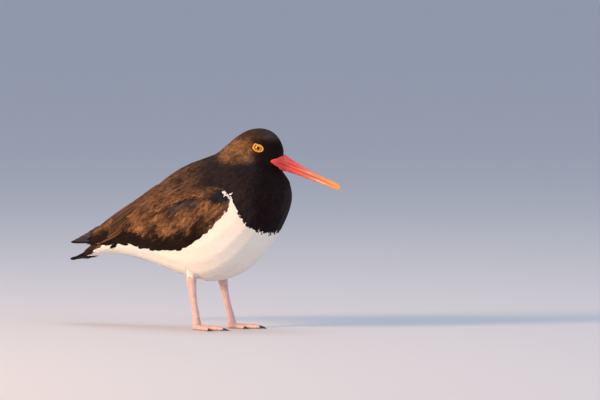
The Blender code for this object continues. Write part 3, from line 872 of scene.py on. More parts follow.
def markings_and_painted_light(points, names, varied=1.0):
    """The plumage's colour at row-frame points, with painted light and shade on the wing, head and throat."""
    bird, head = in_bird(points), before_turn(points)
    count = len(bird)
    chance = rng.random(count) if varied else np.full(count, 0.5)
    broad = waves(bird, 0.045, 3)
    fine = waves(bird, 0.012, 4)
    down_wing = bird[:, 0] * 0.75 + bird[:, 2] * 0.66
    cross_wing = bird[:, 0] * 0.66 - bird[:, 2] * 0.75
    streak = waves(np.stack([down_wing * 0.28, cross_wing, bird[:, 1] * 0.3], 1), 0.0085, 5)
    streak = streak + 0.5 * waves(np.stack([down_wing * 0.28, cross_wing, bird[:, 1] * 0.3], 1), 0.004, 6)
    on_wing = np.isin(names, WINGS)
    # the back is dark brown, warmer towards the rear and lower down
    rear = soft_step(0.025, -0.05, bird[:, 0])
    low = soft_step(0.175, 0.145, bird[:, 2])
    back = mixed(DARK_BROWN, WARM_BROWN, np.clip(0.05 + 0.3 * rear + 0.25 * low * rear + 0.22 * streak + 0.35 * (chance - 0.5), 0, 1))
    # the wing is streaked orange brown, brighter across its middle partly as painted light, over a dark lower band of
    # blackish feathers darkened further as painted shade
    above = bird[:, 2] - wing_lower_edge(bird[:, 0])
    lit = soft_step(0.052, 0.026, above + 0.003 * fine)
    streaks = mixed(DARK_BROWN, ORANGE_BROWN, np.clip(0.09 + 0.44 * lit + 0.36 * streak + 0.34 * (chance - 0.5), 0, 1))
    # painted shade: the lower band's blackish feathers are painted darker still as the shaded lower edge of the wing
    band = soft_step(0.021, 0.010, above + 0.0035 * streak + 0.002 * fine) * soft_step(0.036, 0.010, bird[:, 0])
    wing = mixed(streaks, BLACK_BROWN, band)
    below = scapular_edge(bird[:, 0]) - bird[:, 2]
    # painted shade: a bluish grey band in the shade just under the shoulder feathers' edge
    grey = soft_step(0.0135, 0.0075, below) * soft_step(0.024, 0.012, bird[:, 0]) * soft_step(-0.034, -0.016, bird[:, 0])
    wing = mixed(wing, GREY_SHADE_AND_SHEEN * 0.58 * (1 + 0.4 * streak[:, None]), np.clip(grey * (0.75 + 0.6 * (chance - 0.5)), 0, 1))
    # painted shadow: black brown right under the shoulder feathers' edge
    shadow = soft_step(0.0045, 0.0010, below) * soft_step(0.036, 0.024, bird[:, 0]) * soft_step(-0.075, -0.045, bird[:, 0])
    wing = mixed(wing, BLACK_BROWN, shadow * 0.8)
    bend = np.linalg.norm((bird - (0.0385, 0, 0.1428)) * (0.82, 0, 1.3), axis=1)
    wing = mixed(wing, BLUE_BLACK * 0.9, soft_step(0.0108, 0.0082, bend + 0.0008 * fine))
    over = soft_step(0.0015, -0.0015, below + 0.0006 * fine)
    # painted highlight: the lower edge of the shoulder feathers is lightened to warm orange where the low light catches
    # it
    rim = soft_step(-0.012, -0.001, below) * over * soft_step(0.040, 0.020, bird[:, 0])
    wing = mixed(wing, back, over)
    colour = np.where(on_wing[:, None], wing, back)
    tail = soft_step(-0.138, -0.146, bird[:, 0]) * ~on_wing
    colour = mixed(colour, BLACK_BROWN * 2.2, tail)
    # the painted highlight on the shoulder feathers' edge, on the outer sides only
    colour = mixed(colour, mixed(WARM_BROWN, ORANGE_BROWN, chance), np.clip(rim * 0.6, 0, 1) * (np.abs(bird[:, 1]) > 0.02))
    # the head and neck are black in front and below, and olive brown behind the eye
    front = soft_step(-0.014, 0.020, bird[:, 0] + 0.005 * broad + 0.10 * (bird[:, 2] - 0.165))
    colour = np.where(on_wing[:, None], colour, mixed(colour, BLACK, front * 0.97))
    # painted sheen: the black at the front of the throat is lightened to brown where the light grazes it
    throat = soft_step(0.079, 0.090, bird[:, 0] + 0.002 * fine) * ~on_wing
    colour = mixed(colour, THROAT_SHEEN, throat * np.clip(0.6 + 0.8 * (chance - 0.5), 0, 1))
    is_head = np.isin(names, ("head", "neck", "breast_front"))
    behind = soft_step(0.0590, 0.0435, head[:, 0] + 0.0026 * fine + 0.12 * (head[:, 2] - 0.192))
    above_neck = soft_step(0.1750, 0.1840, head[:, 2] + 0.0015 * broad)
    ear = behind * above_neck * soft_step(0.010, 0.026, head[:, 0])
    crown = soft_step(0.086, 0.070, head[:, 0]) * soft_step(0.196, 0.206, head[:, 2])
    olive = mixed(BROWN, OLIVE_BROWN, np.clip(0.62 + 0.2 * fine + 0.5 * (chance - 0.5), 0, 1))
    # painted highlight: the dark crown turns grey brown towards the forehead as painted sheen
    olive = mixed(olive, mixed(BROWN * 0.6, GREY_SHADE_AND_SHEEN * 0.9, soft_step(0.055, 0.068, head[:, 0])), soft_step(0.197, 0.207, head[:, 2]))
    nape = soft_step(0.004, 0.016, head[:, 0]) * soft_step(0.034, 0.022, head[:, 0]) * soft_step(0.170, 0.190, head[:, 2])
    olive_share = np.clip(ear * 0.95 + 0.55 * crown + 0.4 * nape + 0.2 * streak * ear, 0, 1)
    colour = np.where(is_head[:, None], mixed(colour, olive, olive_share), colour)
    brow = np.exp(-((head[:, 2] - 0.2005) / 0.0028) ** 2) * soft_step(0.044, 0.052, head[:, 0]) * soft_step(0.072, 0.062, head[:, 0])
    colour = mixed(colour, FACE_BLACK, brow * 0.7 * is_head)
    # painted shade: the front of the face, turned away from the light, is painted darker than the black of the bib,
    # over its own black feathers
    face = soft_step(0.051, 0.063, head[:, 0]) * soft_step(0.206, 0.196, head[:, 2]) * is_head
    colour = mixed(colour, FACE_BLACK, face * 0.85)
    white = is_white(bird, names)
    pale = mixed(WHITE, CREAM, np.clip(0.5 + 0.5 * broad, 0, 1))
    colour = np.where(white[:, None], pale, colour)
    near_edge = (bird[:, 0] > 0.046) & (np.abs(bird[:, 2] - bib_edge(bird[:, 0])) < 0.0025) & ~on_wing
    flecks = near_edge & (chance > 0.88)
    colour = np.where(flecks[:, None], np.where(white[:, None], BLACK, pale), colour)
    steadiness = np.where(white & ~flecks, 0.04, 0.55) * varied
    shade = 1 + steadiness * (chance - 0.5) + np.where(white, 0, 0.16 * streak)
    return colour * np.clip(shade, 0.3, 2)[:, None]


# Skin

def make_skin(form):
    """One skin for all the flesh, lying under the coat."""
    bird = in_bird(form.points)
    depth = np.clip(form.sizes[:, 0] * 0.07, 0.0005, 0.0010)
    inner = np.full(len(depth), 0.02)
    for i, (point, normal) in enumerate(zip(form.points, form.normals)):
        start = Vector(point) - Vector(normal) * 0.0003
        hit = form.tree.ray_cast(start, -Vector(normal), 0.02)
        if hit[3] is not None:
            inner[i] = hit[3]
    depth = np.minimum(depth, inner * 0.28)
    depth = smoothed(depth[:, None], form.edges, 12)
    oval = eye_oval(before_turn(form.points))
    depth = depth + 0.0022 * soft_step(1.0, 0.55, oval)[:, None]
    only(form.obj)
    bpy.ops.object.mode_set(mode="EDIT")
    bpy.ops.mesh.select_all(action="SELECT")
    bpy.ops.uv.smart_project(angle_limit=math.radians(66), island_margin=0.004)
    bpy.ops.object.mode_set(mode="OBJECT")
    form.obj.data.uv_layers[0].name = "OFBake"
    colours = markings_and_painted_light(form.points, form.names, varied=0.0)
    attribute = form.obj.data.attributes.new("Coat", "FLOAT_COLOR", "POINT")
    attribute.data.foreach_set("color", np.concatenate([colours, np.ones((len(colours), 1))], 1).ravel())
    form.skin_depth = depth[:, 0]
    set_points(form.obj, form.points - form.normals * depth)
    form.obj.data.shade_smooth()
    return finished(form.obj, skin_material(), "black_plumage", *FLESH)


# Coat

def clear_of_face(places, lengths):
    """True for feathers that leave the eyes and the bill free."""
    clear = np.ones(len(places.points), bool)
    for share in (0.0, 0.35, 0.7, 1.0):
        head = before_turn(places.points + places.lies * (lengths * share)[:, None])
        side = np.abs(head[:, 1])
        clear &= eye_oval(head) > 1.04
        wedge = gape_outline(head[:, 0])
        clear &= ~((head[:, 0] > GAPE_CORNER + 0.0008) & (head[:, 2] > wedge[1]) & (head[:, 2] < wedge[0]) & (side > 0.003))
    root = before_turn(places.points)
    faces = turned(places.normals + (NECK_AXIS_X, 0, 0), -1.0) - (NECK_AXIS_X, 0, 0)
    return clear & ~((root[:, 0] > 0.0770) & (faces[:, 0] > 0.86) & (root[:, 2] < 0.1875))


DARK_SINK = 0.12  # how deep the roots of dark feathers lie, as a share of their length


def stray(tips, names):
    """True for feathers that would stick out past the ends of the wing and the tail."""
    tip = in_bird(tips)
    on_wing = np.isin(names, WINGS)
    wing_top = np.interp(tip[:, 0], (-0.175, -0.150, -0.140), (0.0890, 0.1000, 0.1085))
    past_wing = on_wing & (tip[:, 0] < -0.148) & ((tip[:, 2] > wing_top) | (tip[:, 2] < 0.0850) | (tip[:, 0] < -0.160))
    past_tail = ~on_wing & (tip[:, 0] < -0.158) & (tip[:, 2] > tail_white_edge(tip[:, 0]) - 0.0005)
    return past_wing | past_tail


def grown(coat, form, places, vane, spacing_share, lift=0.0, yaw=0.1, raised=0.0, sink=DARK_SINK, round_look=0.35, cup=0.08):
    """Feathers over those places, as close as their widths need, lying as the comb left them."""
    lengths = places.sizes[:, 0]
    widths = lengths * places.sizes[:, 1]
    kept = spaced(places, widths * spacing_share)
    places, lengths, widths = places.where(kept), lengths[kept], widths[kept]
    lengths = lengths * rng.uniform(0.85, 1.2, len(lengths))
    clear = clear_of_face(places, lengths)
    places, lengths, widths = places.where(clear), lengths[clear], widths[clear]
    count = len(lengths)
    sway = rng.normal(0, yaw, count)[:, None]
    across = np.cross(places.normals, places.lies)
    places.lies = unit(places.lies * np.cos(sway) + across * np.sin(sway))
    centres, normals, ways = form.walked(places, lengths, vane.shares)
    kept = ~stray(centres[:, -1], places.names)
    places, lengths, widths, count = places.where(kept), lengths[kept], widths[kept], int(kept.sum())
    centres, normals, ways = centres[kept], normals[kept], ways[kept]
    root = in_bird(places.points)
    in_bib = soft_step(-0.007, -0.001, root[:, 2] - bib_edge(root[:, 0]))
    depth = np.clip(lengths * (sink + (DARK_SINK - sink) * in_bib), 0.0004, 0.0016)
    shares = vane.shares[None]
    rim = soft_step(0.014, 0.007, root[:, 2] - wing_lower_edge(root[:, 0])) * np.isin(places.names, WINGS)
    depth = depth * (1 - 0.85 * rim)
    heights = -depth[:, None] * (1 - shares) ** 1.3 + (lift * lengths * rng.uniform(0.3, 1.0, count))[:, None] * shares ** 2
    heights = heights + rng.uniform(0.0, 0.12, count)[:, None] * depth[:, None] + 0.0005 * rim[:, None] * shares
    tips = centres[:, -1]
    if raised:
        bird = in_bird(tips)
        over = bird[:, 2] - scapular_edge(bird[:, 0])
        mound = soft_step(-0.0005, 0.0010, over) * soft_step(0.024, 0.002, over)
        mound = mound * soft_step(0.052, 0.040, bird[:, 0]) * soft_step(-0.075, -0.045, bird[:, 0])
        heights = heights + (raised * mound * (np.abs(bird[:, 1]) > 0.012))[:, None] * shares ** 1.3
    colours = markings_and_painted_light(centres[:, -3], places.names)
    thickness = np.clip(widths * 0.045, 0.00006, 0.00018)
    coat.add(vane, centres, normals, ways, widths / 2, heights, thickness, cup,
             unwrapped_places(form, places.points), colours, round_look)


def make_coat(form):
    dark = plumage("dark_plumage", 0.6, 0.05, 0.5, 0.3)
    pale = plumage("white_plumage", 0.8, 0.15, 0.0, 0.02, shaft=0.95)
    brown = plumage("brown_plumage", 0.65, 0.05, 0.8, 0.3)
    everywhere = form.scattered(420000)
    bird = in_bird(everywhere.points)
    blunt = (everywhere.normals[:, 0] < -0.6) & (bird[:, 0] < WING_SKIN_END + 0.003)
    over_tail = (bird[:, 0] < -0.147) & (bird[:, 2] > tail_white_edge(bird[:, 0]) + 0.002) & ~np.isin(everywhere.names, WINGS)
    everywhere = everywhere.where(~(blunt | over_tail))
    bird = in_bird(everywhere.points)
    reach = in_bird(everywhere.points + everywhere.lies * everywhere.sizes[:, :1])
    names = everywhere.names
    white = is_white(reach, names)
    wings = np.isin(names, WINGS)
    head = names == "head"
    neck = (np.isin(names, ("neck", "breast_front")) | ((names == "trunk") & (bird[:, 0] > 0.012))) & ~white
    back = ~(head | neck | wings | white)
    makes = (
        ("coat_head", head, LEAF, 0.52, dark, "black_feathers", {"yaw": 0.08}),
        ("coat_neck", neck, CONTOUR, 0.52, dark, "black_feathers", {"yaw": 0.08}),
        ("coat_belly", white & ~head, CONTOUR, 0.46, pale, "white_feathers", {"yaw": 0.05, "sink": 0.03, "round_look": 0.05, "cup": 0.02}),
        ("coat_back", back, STREAK, 0.5, brown, "brown_feathers", {"lift": 0.02, "raised": SCAPULAR_RISE}),
        ("coat_wing_left", names == "wing_left", STREAK, 0.5, brown, "brown_feathers",
         {"yaw": 0.14, "lift": 0.025, "raised": SCAPULAR_RISE}),
        ("coat_wing_right", names == "wing_right", STREAK, 0.5, brown, "brown_feathers",
         {"yaw": 0.14, "lift": 0.025, "raised": SCAPULAR_RISE}),
    )
    for name, chosen, vane, share, material, slot, more in makes:
        coat = Coat()
        grown(coat, form, everywhere.where(chosen), vane, share, **more)
        coat.piece(name, material, slot)


# Flight feathers

def curve_through(points, shares):
    """Points at shares of the way along a smooth curve through three given ones."""
    first, middle, last = (np.asarray(p, float) for p in points)
    t = np.asarray(shares)[:, None]
    control = 2 * middle - (first + last) / 2
    return first * (1 - t) ** 2 + control * 2 * t * (1 - t) + last * t ** 2


class Quill:
    """One long feather by its root, middle and tip, the way its face looks, its half width and its colour."""

    def __init__(self, root, middle, tip, face, half_width, colour):
        self.root, self.middle, self.tip = root, middle, tip
        self.face, self.half_width, self.colour = face, half_width, colour


def add_quills(coat, form, quills, vane=BLADE, thickness=0.0003, cup=0.12):
    for quill in quills:
        centres = in_row(curve_through((quill.root, quill.middle, quill.tip), vane.shares))
        ways = unit(np.gradient(centres, axis=0))
        normals = np.tile(unit(np.asarray(quill.face, float)), (len(centres), 1))
        normals = unit(normals - ways * (normals * ways).sum(1, keepdims=True))
        coat.add(vane, centres[None], normals[None], ways[None], np.array([quill.half_width]),
                 np.zeros((1, len(centres))), np.array([thickness]), cup,
                 unwrapped_places(form, centres[:1]), np.array([quill.colour]))


def on_side(form, x, z, side, out):
    """The place on that side of the form at x and z, moved outwards."""
    spot = form.tree.ray_cast(Vector(in_row((x, side * 0.12, z))), Vector((0, -side, 0)))[0]
    level = side * 0.0075 if spot is None else spot.y
    return (x, level + side * out, z)


PRIMARY_TIPS = ((-0.1888, 0.0870), (-0.1835, 0.0892), (-0.1775, 0.0918), (-0.1710, 0.0946), (-0.1645, 0.0976),
                (-0.1585, 0.1004))
TERTIAL_COUNT = 15


def make_wing_quills(form, side, brown, grey):
    """The long tertials and the primaries' tips of one folded wing. Side is 1 on the left."""
    name = "left" if side > 0 else "right"
    primaries = []
    for n, (x, z) in enumerate(PRIMARY_TIPS):
        root = (-0.126, side * (0.0078 + 0.0007 * n), 0.0925 + 0.0022 * n)
        tip = (x, side * (0.0018 + 0.0005 * n), z)
        middle = tuple(np.add(root, tip) / 2 + (0, side * 0.0010, 0.0008 + 0.0002 * n))
        # painted shade: the lowest primaries are painted darker for the shaded lower edge of the wing tip; the others
        # alternate in tone
        tone = mixed(paint(26, 24, 28), paint(66, 62, 70), np.array([min(n, 2) / 2 * (0.6 + 0.4 * (n % 2))]))[0]
        primaries.append(Quill(root, middle, tip, (0.1, side, 0.45), 0.0040, tone))
    coat = Coat()
    add_quills(coat, form, primaries, BLADE)
    coat.piece("primary_tips_" + name, grey, "black_feathers", "primaries_" + name)
    tertials = []
    for n in range(TERTIAL_COUNT):
        share = n / (TERTIAL_COUNT - 1)
        x1, z1 = np.interp(share, (0, 0.5, 1), (-0.094, -0.072, -0.050)), np.interp(share, (0, 0.5, 1), (0.1035, 0.127, 0.1485))
        x2, z2 = np.interp(share, (0, 0.5, 1), (-0.118, -0.110, -0.102)), np.interp(share, (0, 0.5, 1), (0.0945, 0.107, 0.1240))
        x3, z3 = np.interp(share, (0, 0.45, 1), (-0.136, -0.1530, -0.1550)), np.interp(share, (0, 0.45, 1), (0.0885, 0.0862, 0.0985))
        root = on_side(form, x1, z1, side, -0.0008)
        middle = on_side(form, x2, z2, side, 0.0006)
        tip_y = np.interp(x3, (-0.152, -0.140, -0.130), (0.0115, 0.0190, 0.0235)) - 0.004 * soft_step(0.5, 1.0, np.array(share))
        tip = (x3 + rng.normal(0, 0.0012), side * float(tip_y), z3 + rng.normal(0, 0.0006))
        tone = mixed(BLACK_BROWN, WARM_BROWN, np.array([0.12 + 0.45 * (n % 2) + 0.2 * rng.random()]))[0]
        tertials.append(Quill(root, middle, tip, (0.12, side, 0.5), 0.0028 + 0.0004 * (n % 2), tone * 0.8))
    coat = Coat()
    add_quills(coat, form, tertials, BLADE)
    coat.piece("tertials_" + name, brown, "brown_feathers")


def make_tail(form, dark):
    """Twelve tail feathers, the middle pair on top, and the undersides that close the tail from below."""
    feathers = []
    for n in range(12):
        place = (n - 5.5) / 5.5
        level = 0.0012 * (1 - abs(place))
        root = (-0.143, 0.0145 * place, 0.0868 + level - 0.003 * place ** 2)
        middle = (-0.164, 0.0172 * place, 0.0768 + level - 0.0014 * place ** 2)
        tip = (-0.1828 + 0.0030 * place ** 2, 0.0146 * place, 0.0692 + 0.4 * level)
        tone = BLACK_BROWN * 1.8 * rng.uniform(0.75, 1.3)
        feathers.append(Quill(root, middle, tip, (0.35, 0.25 * place, 1), 0.0036, tone))
    for n in range(10):
        place = (n - 4.5) / 4.5
        root = (-0.150, 0.0135 * place, 0.0762)
        middle = (-0.166, 0.0155 * place, 0.0728)
        tip = (-0.1815 + 0.0030 * place ** 2, 0.0138 * place, 0.0686)
        tone = BLACK_BROWN * 2.0 * rng.uniform(0.8, 1.2)
        feathers.append(Quill(root, middle, tip, (-0.2, 0.3 * place, -1), 0.0034, tone))
    coat = Coat()
    add_quills(coat, form, feathers, BLUNT)
    coat.piece("quills_tail", dark, "black_feathers")


# Bill

def bill_coordinates(points):
    """How far along the bill each point lies, and its angle round the bill's axis, both from 0 to 1."""
    root = on_head(BILL_ROOT)
    axis = head_way((math.cos(BILL_PITCH), 0, -math.sin(BILL_PITCH)))
    side = head_way((0, 1, 0))
    up = np.cross(axis, side)
    from_root = points - root
    along = from_root @ axis / BILL_LENGTH
    return along, from_root @ side, from_root @ up


def give_bill_map(obj):
    """A map that runs along the bill and round it, for its streaks."""
    along, side, up = bill_coordinates(points_of(obj))
    while obj.data.uv_layers:
        obj.data.uv_layers.remove(obj.data.uv_layers[0])
    layer = obj.data.uv_layers.new(name="Along")
    vertices = np.zeros(len(obj.data.loops), int)
    obj.data.loops.foreach_get("vertex_index", vertices)
    flat = np.stack([np.clip(along, 0, 1), np.abs(np.arctan2(side, up)) / math.pi], 1)
    layer.uv.foreach_set("vector", flat[vertices].ravel())


def give_bill_marks(obj):
    """Where the dark lines of the mouth and the nostrils lie, and the pale worn edge of the lower half."""
    along, side, up = bill_coordinates(points_of(obj))
    mouth = np.exp(-((up - MOUTH_LINE) / 0.00042) ** 2) * soft_step(-0.12, 0.05, along) * soft_step(1.15, 0.6, along)
    line = np.interp(along, (0.05, 0.5), (0.0022, 0.0014))
    nostril = soft_step(0.04, 0.12, along) * soft_step(0.48, 0.2, along) * np.exp(-((up - line) / 0.0005) ** 2)
    wear = np.exp(-((along - 0.66) / 0.10) ** 2) * np.exp(-((up + 0.0030) / 0.0009) ** 2)
    wear = wear + 0.5 * np.exp(-((along - 0.45) / 0.16) ** 2) * np.exp(-((up - 0.0010) / 0.0005) ** 2)
    for name, values in (("Line", np.maximum(mouth, nostril)), ("Wear", np.clip(wear, 0, 1))):
        attribute = obj.data.attributes.new(name, "FLOAT", "POINT")
        attribute.data.foreach_set("value", values)


def turned_out(obj):
    """Faces the whole closed piece outwards."""
    only(obj)
    bpy.ops.object.mode_set(mode="EDIT")
    bpy.ops.mesh.select_all(action="SELECT")
    bpy.ops.mesh.normals_make_consistent(inside=False)
    bpy.ops.object.mode_set(mode="OBJECT")


def gape_patch(face, side):
    """A closed sheet of skin over the side of the face, from the mouth's corner to the side of the bill."""
    bpy.ops.object.select_all(action="DESELECT")
    bpy.ops.mesh.primitive_grid_add(x_subdivisions=28, y_subdivisions=14, size=2)
    obj = bpy.context.active_object
    flat = points_of(obj)
    share = (flat[:, 0] + 1) / 2
    x = GAPE_CORNER + share * (GAPE_END - GAPE_CORNER)
    top, low = gape_outline(x)
    z = low + (top - low) * (flat[:, 1] + 1) / 2
    way = Vector(head_way((0, -side, 0)))
    starts = [Vector(on_head((a, side * 0.03, c))) for a, c in zip(x, z)]
    levels = np.array([[face.ray_cast(start, way)[3] or 0.0245] for start in starts])
    levels = smoothed(np.minimum(levels, 0.0262), edges_of(obj), 6)[:, 0]
    puff = GAPE_PUFF * np.sqrt(np.clip(1 - flat[:, 1] ** 2, 0, 1)) * soft_step(0.0, 0.2, share) * soft_step(1.0, 0.6, share)
    levels = levels - puff + 0.0016 * soft_step(0.50, 1.0, share)
    set_points(obj, np.array([np.array(start + way * level) for start, level in zip(starts, levels)]))
    modified(obj, "SOLIDIFY", thickness=0.0020, offset=-1 if side > 0 else 1)
    turned_out(obj)
    return obj


def bill_dents(points):
    """How deep the grooves of the bill lie at each point: between its halves, at the nostrils and along its sides."""
    along, side, up = bill_coordinates(points)
    on_side = soft_step(0.25, 0.6, np.abs(side) / np.interp(along, (0, 1), (0.0062, 0.0016)))
    mouth = soft_step(-0.05, 0.10, along) * np.exp(-((up - MOUTH_LINE) / 0.00035) ** 2)
    line = np.interp(along, (0.05, 0.5), (0.0022, 0.0014))
    groove = soft_step(0.05, 0.14, along) * soft_step(0.55, 0.34, along) * np.exp(-((up - line) / 0.0008) ** 2)
    nostril = soft_step(0.11, 0.15, along) * soft_step(0.26, 0.21, along) * np.exp(-((up - line) / 0.00045) ** 2)
    lower = soft_step(0.04, 0.2, along) * soft_step(0.8, 0.5, along) * np.exp(-((up + 0.0036) / 0.0006) ** 2)
    dents = 0.00022 * mouth + 0.00030 * groove + 0.00050 * nostril + 0.00012 * lower
    return dents * on_side + 0.00005 * waves(points, 0.006, 8)


def make_bill(form, material):
    """The bill and the red skin at the corners of the mouth, as one piece."""
    points = [Vector(p) for p in form.points]
    triangles = form.triangles.tolist()
    obj = copy_of("bill_horn", ["bill_upper", "bill_lower"])
    set_points(obj, points_of(obj) + normals_of(obj) * BILL_GROW)
    start = len(points)
    points += [v.co.copy() for v in obj.data.vertices]
    triangles += [[start + i for i in p.vertices] for p in obj.data.polygons]
    face = BVHTree.FromPolygons(points, triangles)
    patches = [gape_patch(face, side) for side in (1, -1)]
    only(obj)
    for patch in patches:
        patch.select_set(True)
    bpy.ops.object.join()
    modified(obj, "REMESH", mode="VOXEL", voxel_size=0.0004)
    set_points(obj, smoothed(points_of(obj), edges_of(obj), 8, push=0.52))
    set_points(obj, points_of(obj) - normals_of(obj) * (BILL_GROW + bill_dents(points_of(obj)))[:, None])
    obj.data.shade_smooth()
    give_bill_map(obj)
    give_bill_marks(obj)
    finished(obj, material, "bill", "bill_upper", "bill_lower")


# Eyes

def make_eyes(form, ring_material):
    for side, name in ((1, "left"), (-1, "right")):
        centre = on_head((EYE_PLACE[0], side * EYE_PLACE[1], EYE_PLACE[2]))
        out = unit(head_way((0.10, side, 0.04)))
        bpy.ops.object.select_all(action="DESELECT")
        bpy.ops.mesh.primitive_uv_sphere_add(segments=40, ring_count=24, radius=EYE_RADIUS)
        ball = bpy.context.active_object
        ball.name = ball.data.name = "eyeball_" + name
        turn = Vector(out).to_track_quat("Z", "Y").to_matrix()
        set_points(ball, points_of(ball) @ np.array(turn).T + centre)
        ball.data.shade_smooth()
        pole = centre + out * EYE_RADIUS
        finished(ball, eye_material("eye_gold_" + name, pole), "eye", "eye_" + name)
        bpy.ops.object.select_all(action="DESELECT")
        bpy.ops.mesh.primitive_torus_add(major_segments=64, minor_segments=16, major_radius=1.0, minor_radius=RING_SHARE)
        ring = bpy.context.active_object
        ring.name = ring.data.name = "eye_ring_" + name
        flat = points_of(ring)
        angle = np.arctan2(flat[:, 1], flat[:, 0])
        reach = np.hypot(flat[:, 0], flat[:, 1])
        corner = 1 + 0.22 * np.exp(-((angle - math.radians(132)) / 0.30) ** 2)
        ahead = unit(head_way((1, 0, -0.30)))
        ahead = unit(ahead - out * (ahead @ out))
        up = np.cross(out, ahead) * (1 if np.cross(out, ahead)[2] > 0 else -1)
        wide, high = (size / (1 + RING_SHARE) for size in EYE_OVAL)
        x = np.cos(angle) * reach * wide * corner
        z = np.sin(angle) * reach * high * corner
        ball_level = np.sqrt(np.clip(EYE_RADIUS ** 2 - x ** 2 - z ** 2, 0, None))
        folds = 1 + 0.10 * np.sin(angle * 23) * (reach > 1)
        face_level = np.zeros((len(x), 1))
        for i in range(len(x)):
            start = Vector(centre + x[i] / reach[i] * ahead + z[i] / reach[i] * up + out * 0.02)
            face_level[i] = 0.02 - (form.tree.ray_cast(start, -Vector(out))[3] or 0.016)
        face_level = smoothed(face_level, edges_of(ring), 30)[:, 0]
        base = np.maximum(np.maximum(ball_level, RING_LEVEL), face_level + 0.0001)
        height = base + flat[:, 2] * 0.0034 * folds
        set_points(ring, centre + np.outer(x, ahead) + np.outer(z, up) + np.outer(height, out))
        turned_out(ring)
        ring.data.shade_smooth()
        finished(ring, ring_material, "eye")


# Legs

TUFT_COUNT = 36


def make_legs():
    material = leg_material()
    legs = []
    for name in ("left", "right"):
        obj = copy_of("leg_skin_" + name, ["leg_" + name, "foot_" + name])
        legs.append(obj)
        set_points(obj, points_of(obj) + normals_of(obj) * GROW)
        modified(obj, "REMESH", mode="VOXEL", voxel_size=0.0005)
        points = smoothed(points_of(obj), edges_of(obj), 10, push=0.52)
        scute = 0.00012 * waves(points, 0.0026, 21) + 0.00008 * waves(points, 0.0014, 22)
        points = points + normals_of(obj) * (scute - GROW)[:, None]
        points[:, 2] = np.maximum(points[:, 2], 0.0)
        set_points(obj, points)
        obj.data.shade_smooth()
        finished(obj, material, "leg_skin", "leg_" + name, "foot_" + name)
    horn = claw_material()
    for name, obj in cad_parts.items():
        if name.startswith("claw"):
            obj.data.materials.clear()
            obj.data.materials.append(horn)
    return legs


def make_leg_tufts(form, legs, pale):
    """Short white feathers that lap down from the belly over the top of each leg."""
    tufts = []
    for leg in legs:
        points = in_bird(points_of(leg))
        top = points[:, 2].max()
        slices = [points[np.abs(points[:, 2] - top + drop) < 0.001] for drop in (0.002, 0.006, 0.010)]
        middles = [part[:, :2].mean(0) for part in slices]
        reaches = [np.linalg.norm(part[:, :2] - middle, axis=1).mean() for part, middle in zip(slices, middles)]
        for n in range(TUFT_COUNT):
            angle = 2 * math.pi * (n + 0.5 * rng.random()) / TUFT_COUNT * 2
            out = np.array([math.cos(angle), math.sin(angle)])
            low = 0.0012 * rng.random() + 0.0015 * (n % 2)
            spots = [(*(middle + out * (reach + more)), top - drop - low) for middle, reach, more, drop
                     in zip(middles, reaches, (0.0016, 0.0011, 0.0002), (0.0, 0.0022, 0.0054))]
            under = Vector(in_row((spots[0][0], spots[0][1], top - 0.02)))
            belly = form.tree.ray_cast(under, Vector((0, 0, 1)), 0.03)[0]
            rise = min(belly.z - top, 0.008) if belly else 0.0
            spots[0] = (spots[0][0], spots[0][1], top + rise + 0.0006)
            face = (*out, 0.15)
            tufts.append(Quill(*spots, face, 0.0016 + 0.0004 * rng.random(), WHITE * rng.uniform(0.94, 1.0)))
    coat = Coat()
    add_quills(coat, form, tufts, CONTOUR, thickness=0.0002)
    coat.piece("leg_tufts", pale, "white_feathers")


# Stage

def make_stage():
    bpy.ops.object.select_all(action="DESELECT")
    bpy.ops.mesh.primitive_circle_add(vertices=96, radius=30, fill_type="NGON")
    floor = bpy.context.active_object
    floor.name = "floor"
    floor.data.materials.append(floor_material())
    world = bpy.data.worlds.new("studio")
    bpy.context.scene.world = world
    world.use_nodes = True
    world.node_tree.nodes["Background"].inputs["Color"].default_value = rgba(paint(218, 229, 250))
    world.node_tree.nodes["Background"].inputs["Strength"].default_value = 0.60


def aimed_light(name, place, target, size, watts, colour):
    data = bpy.data.lights.new(name, "AREA")
    data.shape, data.size, data.energy, data.color = "DISK", size, watts, colour
    light = bpy.data.objects.new(name, data)
    bpy.context.scene.collection.objects.link(light)
    light.location = place
    light.rotation_euler = (Vector(target) - Vector(place)).to_track_quat("-Z", "Y").to_euler()


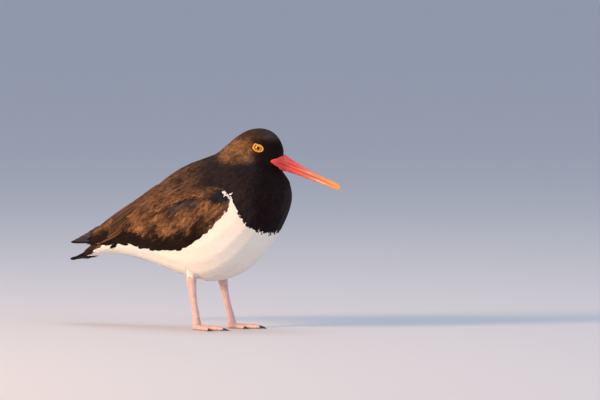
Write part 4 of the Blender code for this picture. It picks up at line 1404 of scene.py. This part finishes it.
AZIMUTH, ELEVATION = math.radians(35), math.radians(2.5)
BACK = Vector((math.sin(AZIMUTH) * math.cos(ELEVATION), -math.cos(AZIMUTH) * math.cos(ELEVATION), math.sin(ELEVATION)))
RIGHT = Vector((math.cos(AZIMUTH), math.sin(AZIMUTH), 0))


KEY_RISE = math.radians(20)


def make_lights():
    middle = Vector((0, 0, 0.12))
    level = Vector((BACK.x, BACK.y, 0)).normalized()
    key_way = (level * 0.5 - RIGHT * 0.86).normalized() * math.cos(KEY_RISE) + Vector((0, 0, math.sin(KEY_RISE)))
    aimed_light("key", middle + key_way * 3.0, middle, 0.9, 112, (1.0, 0.60, 0.31))
    fill_way = (level * 0.7 + RIGHT * 0.75 + Vector((0, 0, 0.45))).normalized()
    aimed_light("fill", middle + fill_way * 3.0, middle, 2.0, 14, (0.84, 0.92, 1.0))
    aimed_light("top", middle + Vector((-0.3, 0.4, 3.0)), middle, 2.2, 22, (0.97, 0.98, 1.0))


def make_camera():
    up = BACK.cross(RIGHT)
    target = RIGHT * 0.09063 + up * 0.13674 + Vector((FEET_X, 0, 0))
    data = bpy.data.cameras.new("camera")
    data.lens = 452.8
    data.clip_start, data.clip_end = 0.5, 100
    camera = bpy.data.objects.new("camera", data)
    bpy.context.scene.collection.objects.link(camera)
    camera.location = target + BACK * 8
    camera.rotation_euler = BACK.to_track_quat("Z", "Y").to_euler()
    bpy.context.scene.camera = camera
    bpy.context.scene.view_settings.view_transform = "Standard"


def main():
    form = Form()
    make_skin(form)
    make_coat(form)
    brown = plumage("tertial_plumage", 0.6, 0.06, 1.6, 0.3, barbs=120.0)
    grey = plumage("primary_plumage", 0.75, 0.04, 0.8, 0.15, barbs=120.0)
    for side in (1, -1):
        make_wing_quills(form, side, brown, grey)
    make_tail(form, grey)
    make_bill(form, bill_material())
    make_eyes(form, lid_material())
    pale = plumage("tuft_plumage", 0.8, 0.15, 0.0, 0.02, shaft=0.95)
    make_leg_tufts(form, make_legs(), pale)
    make_stage()
    make_lights()
    make_camera()


main()
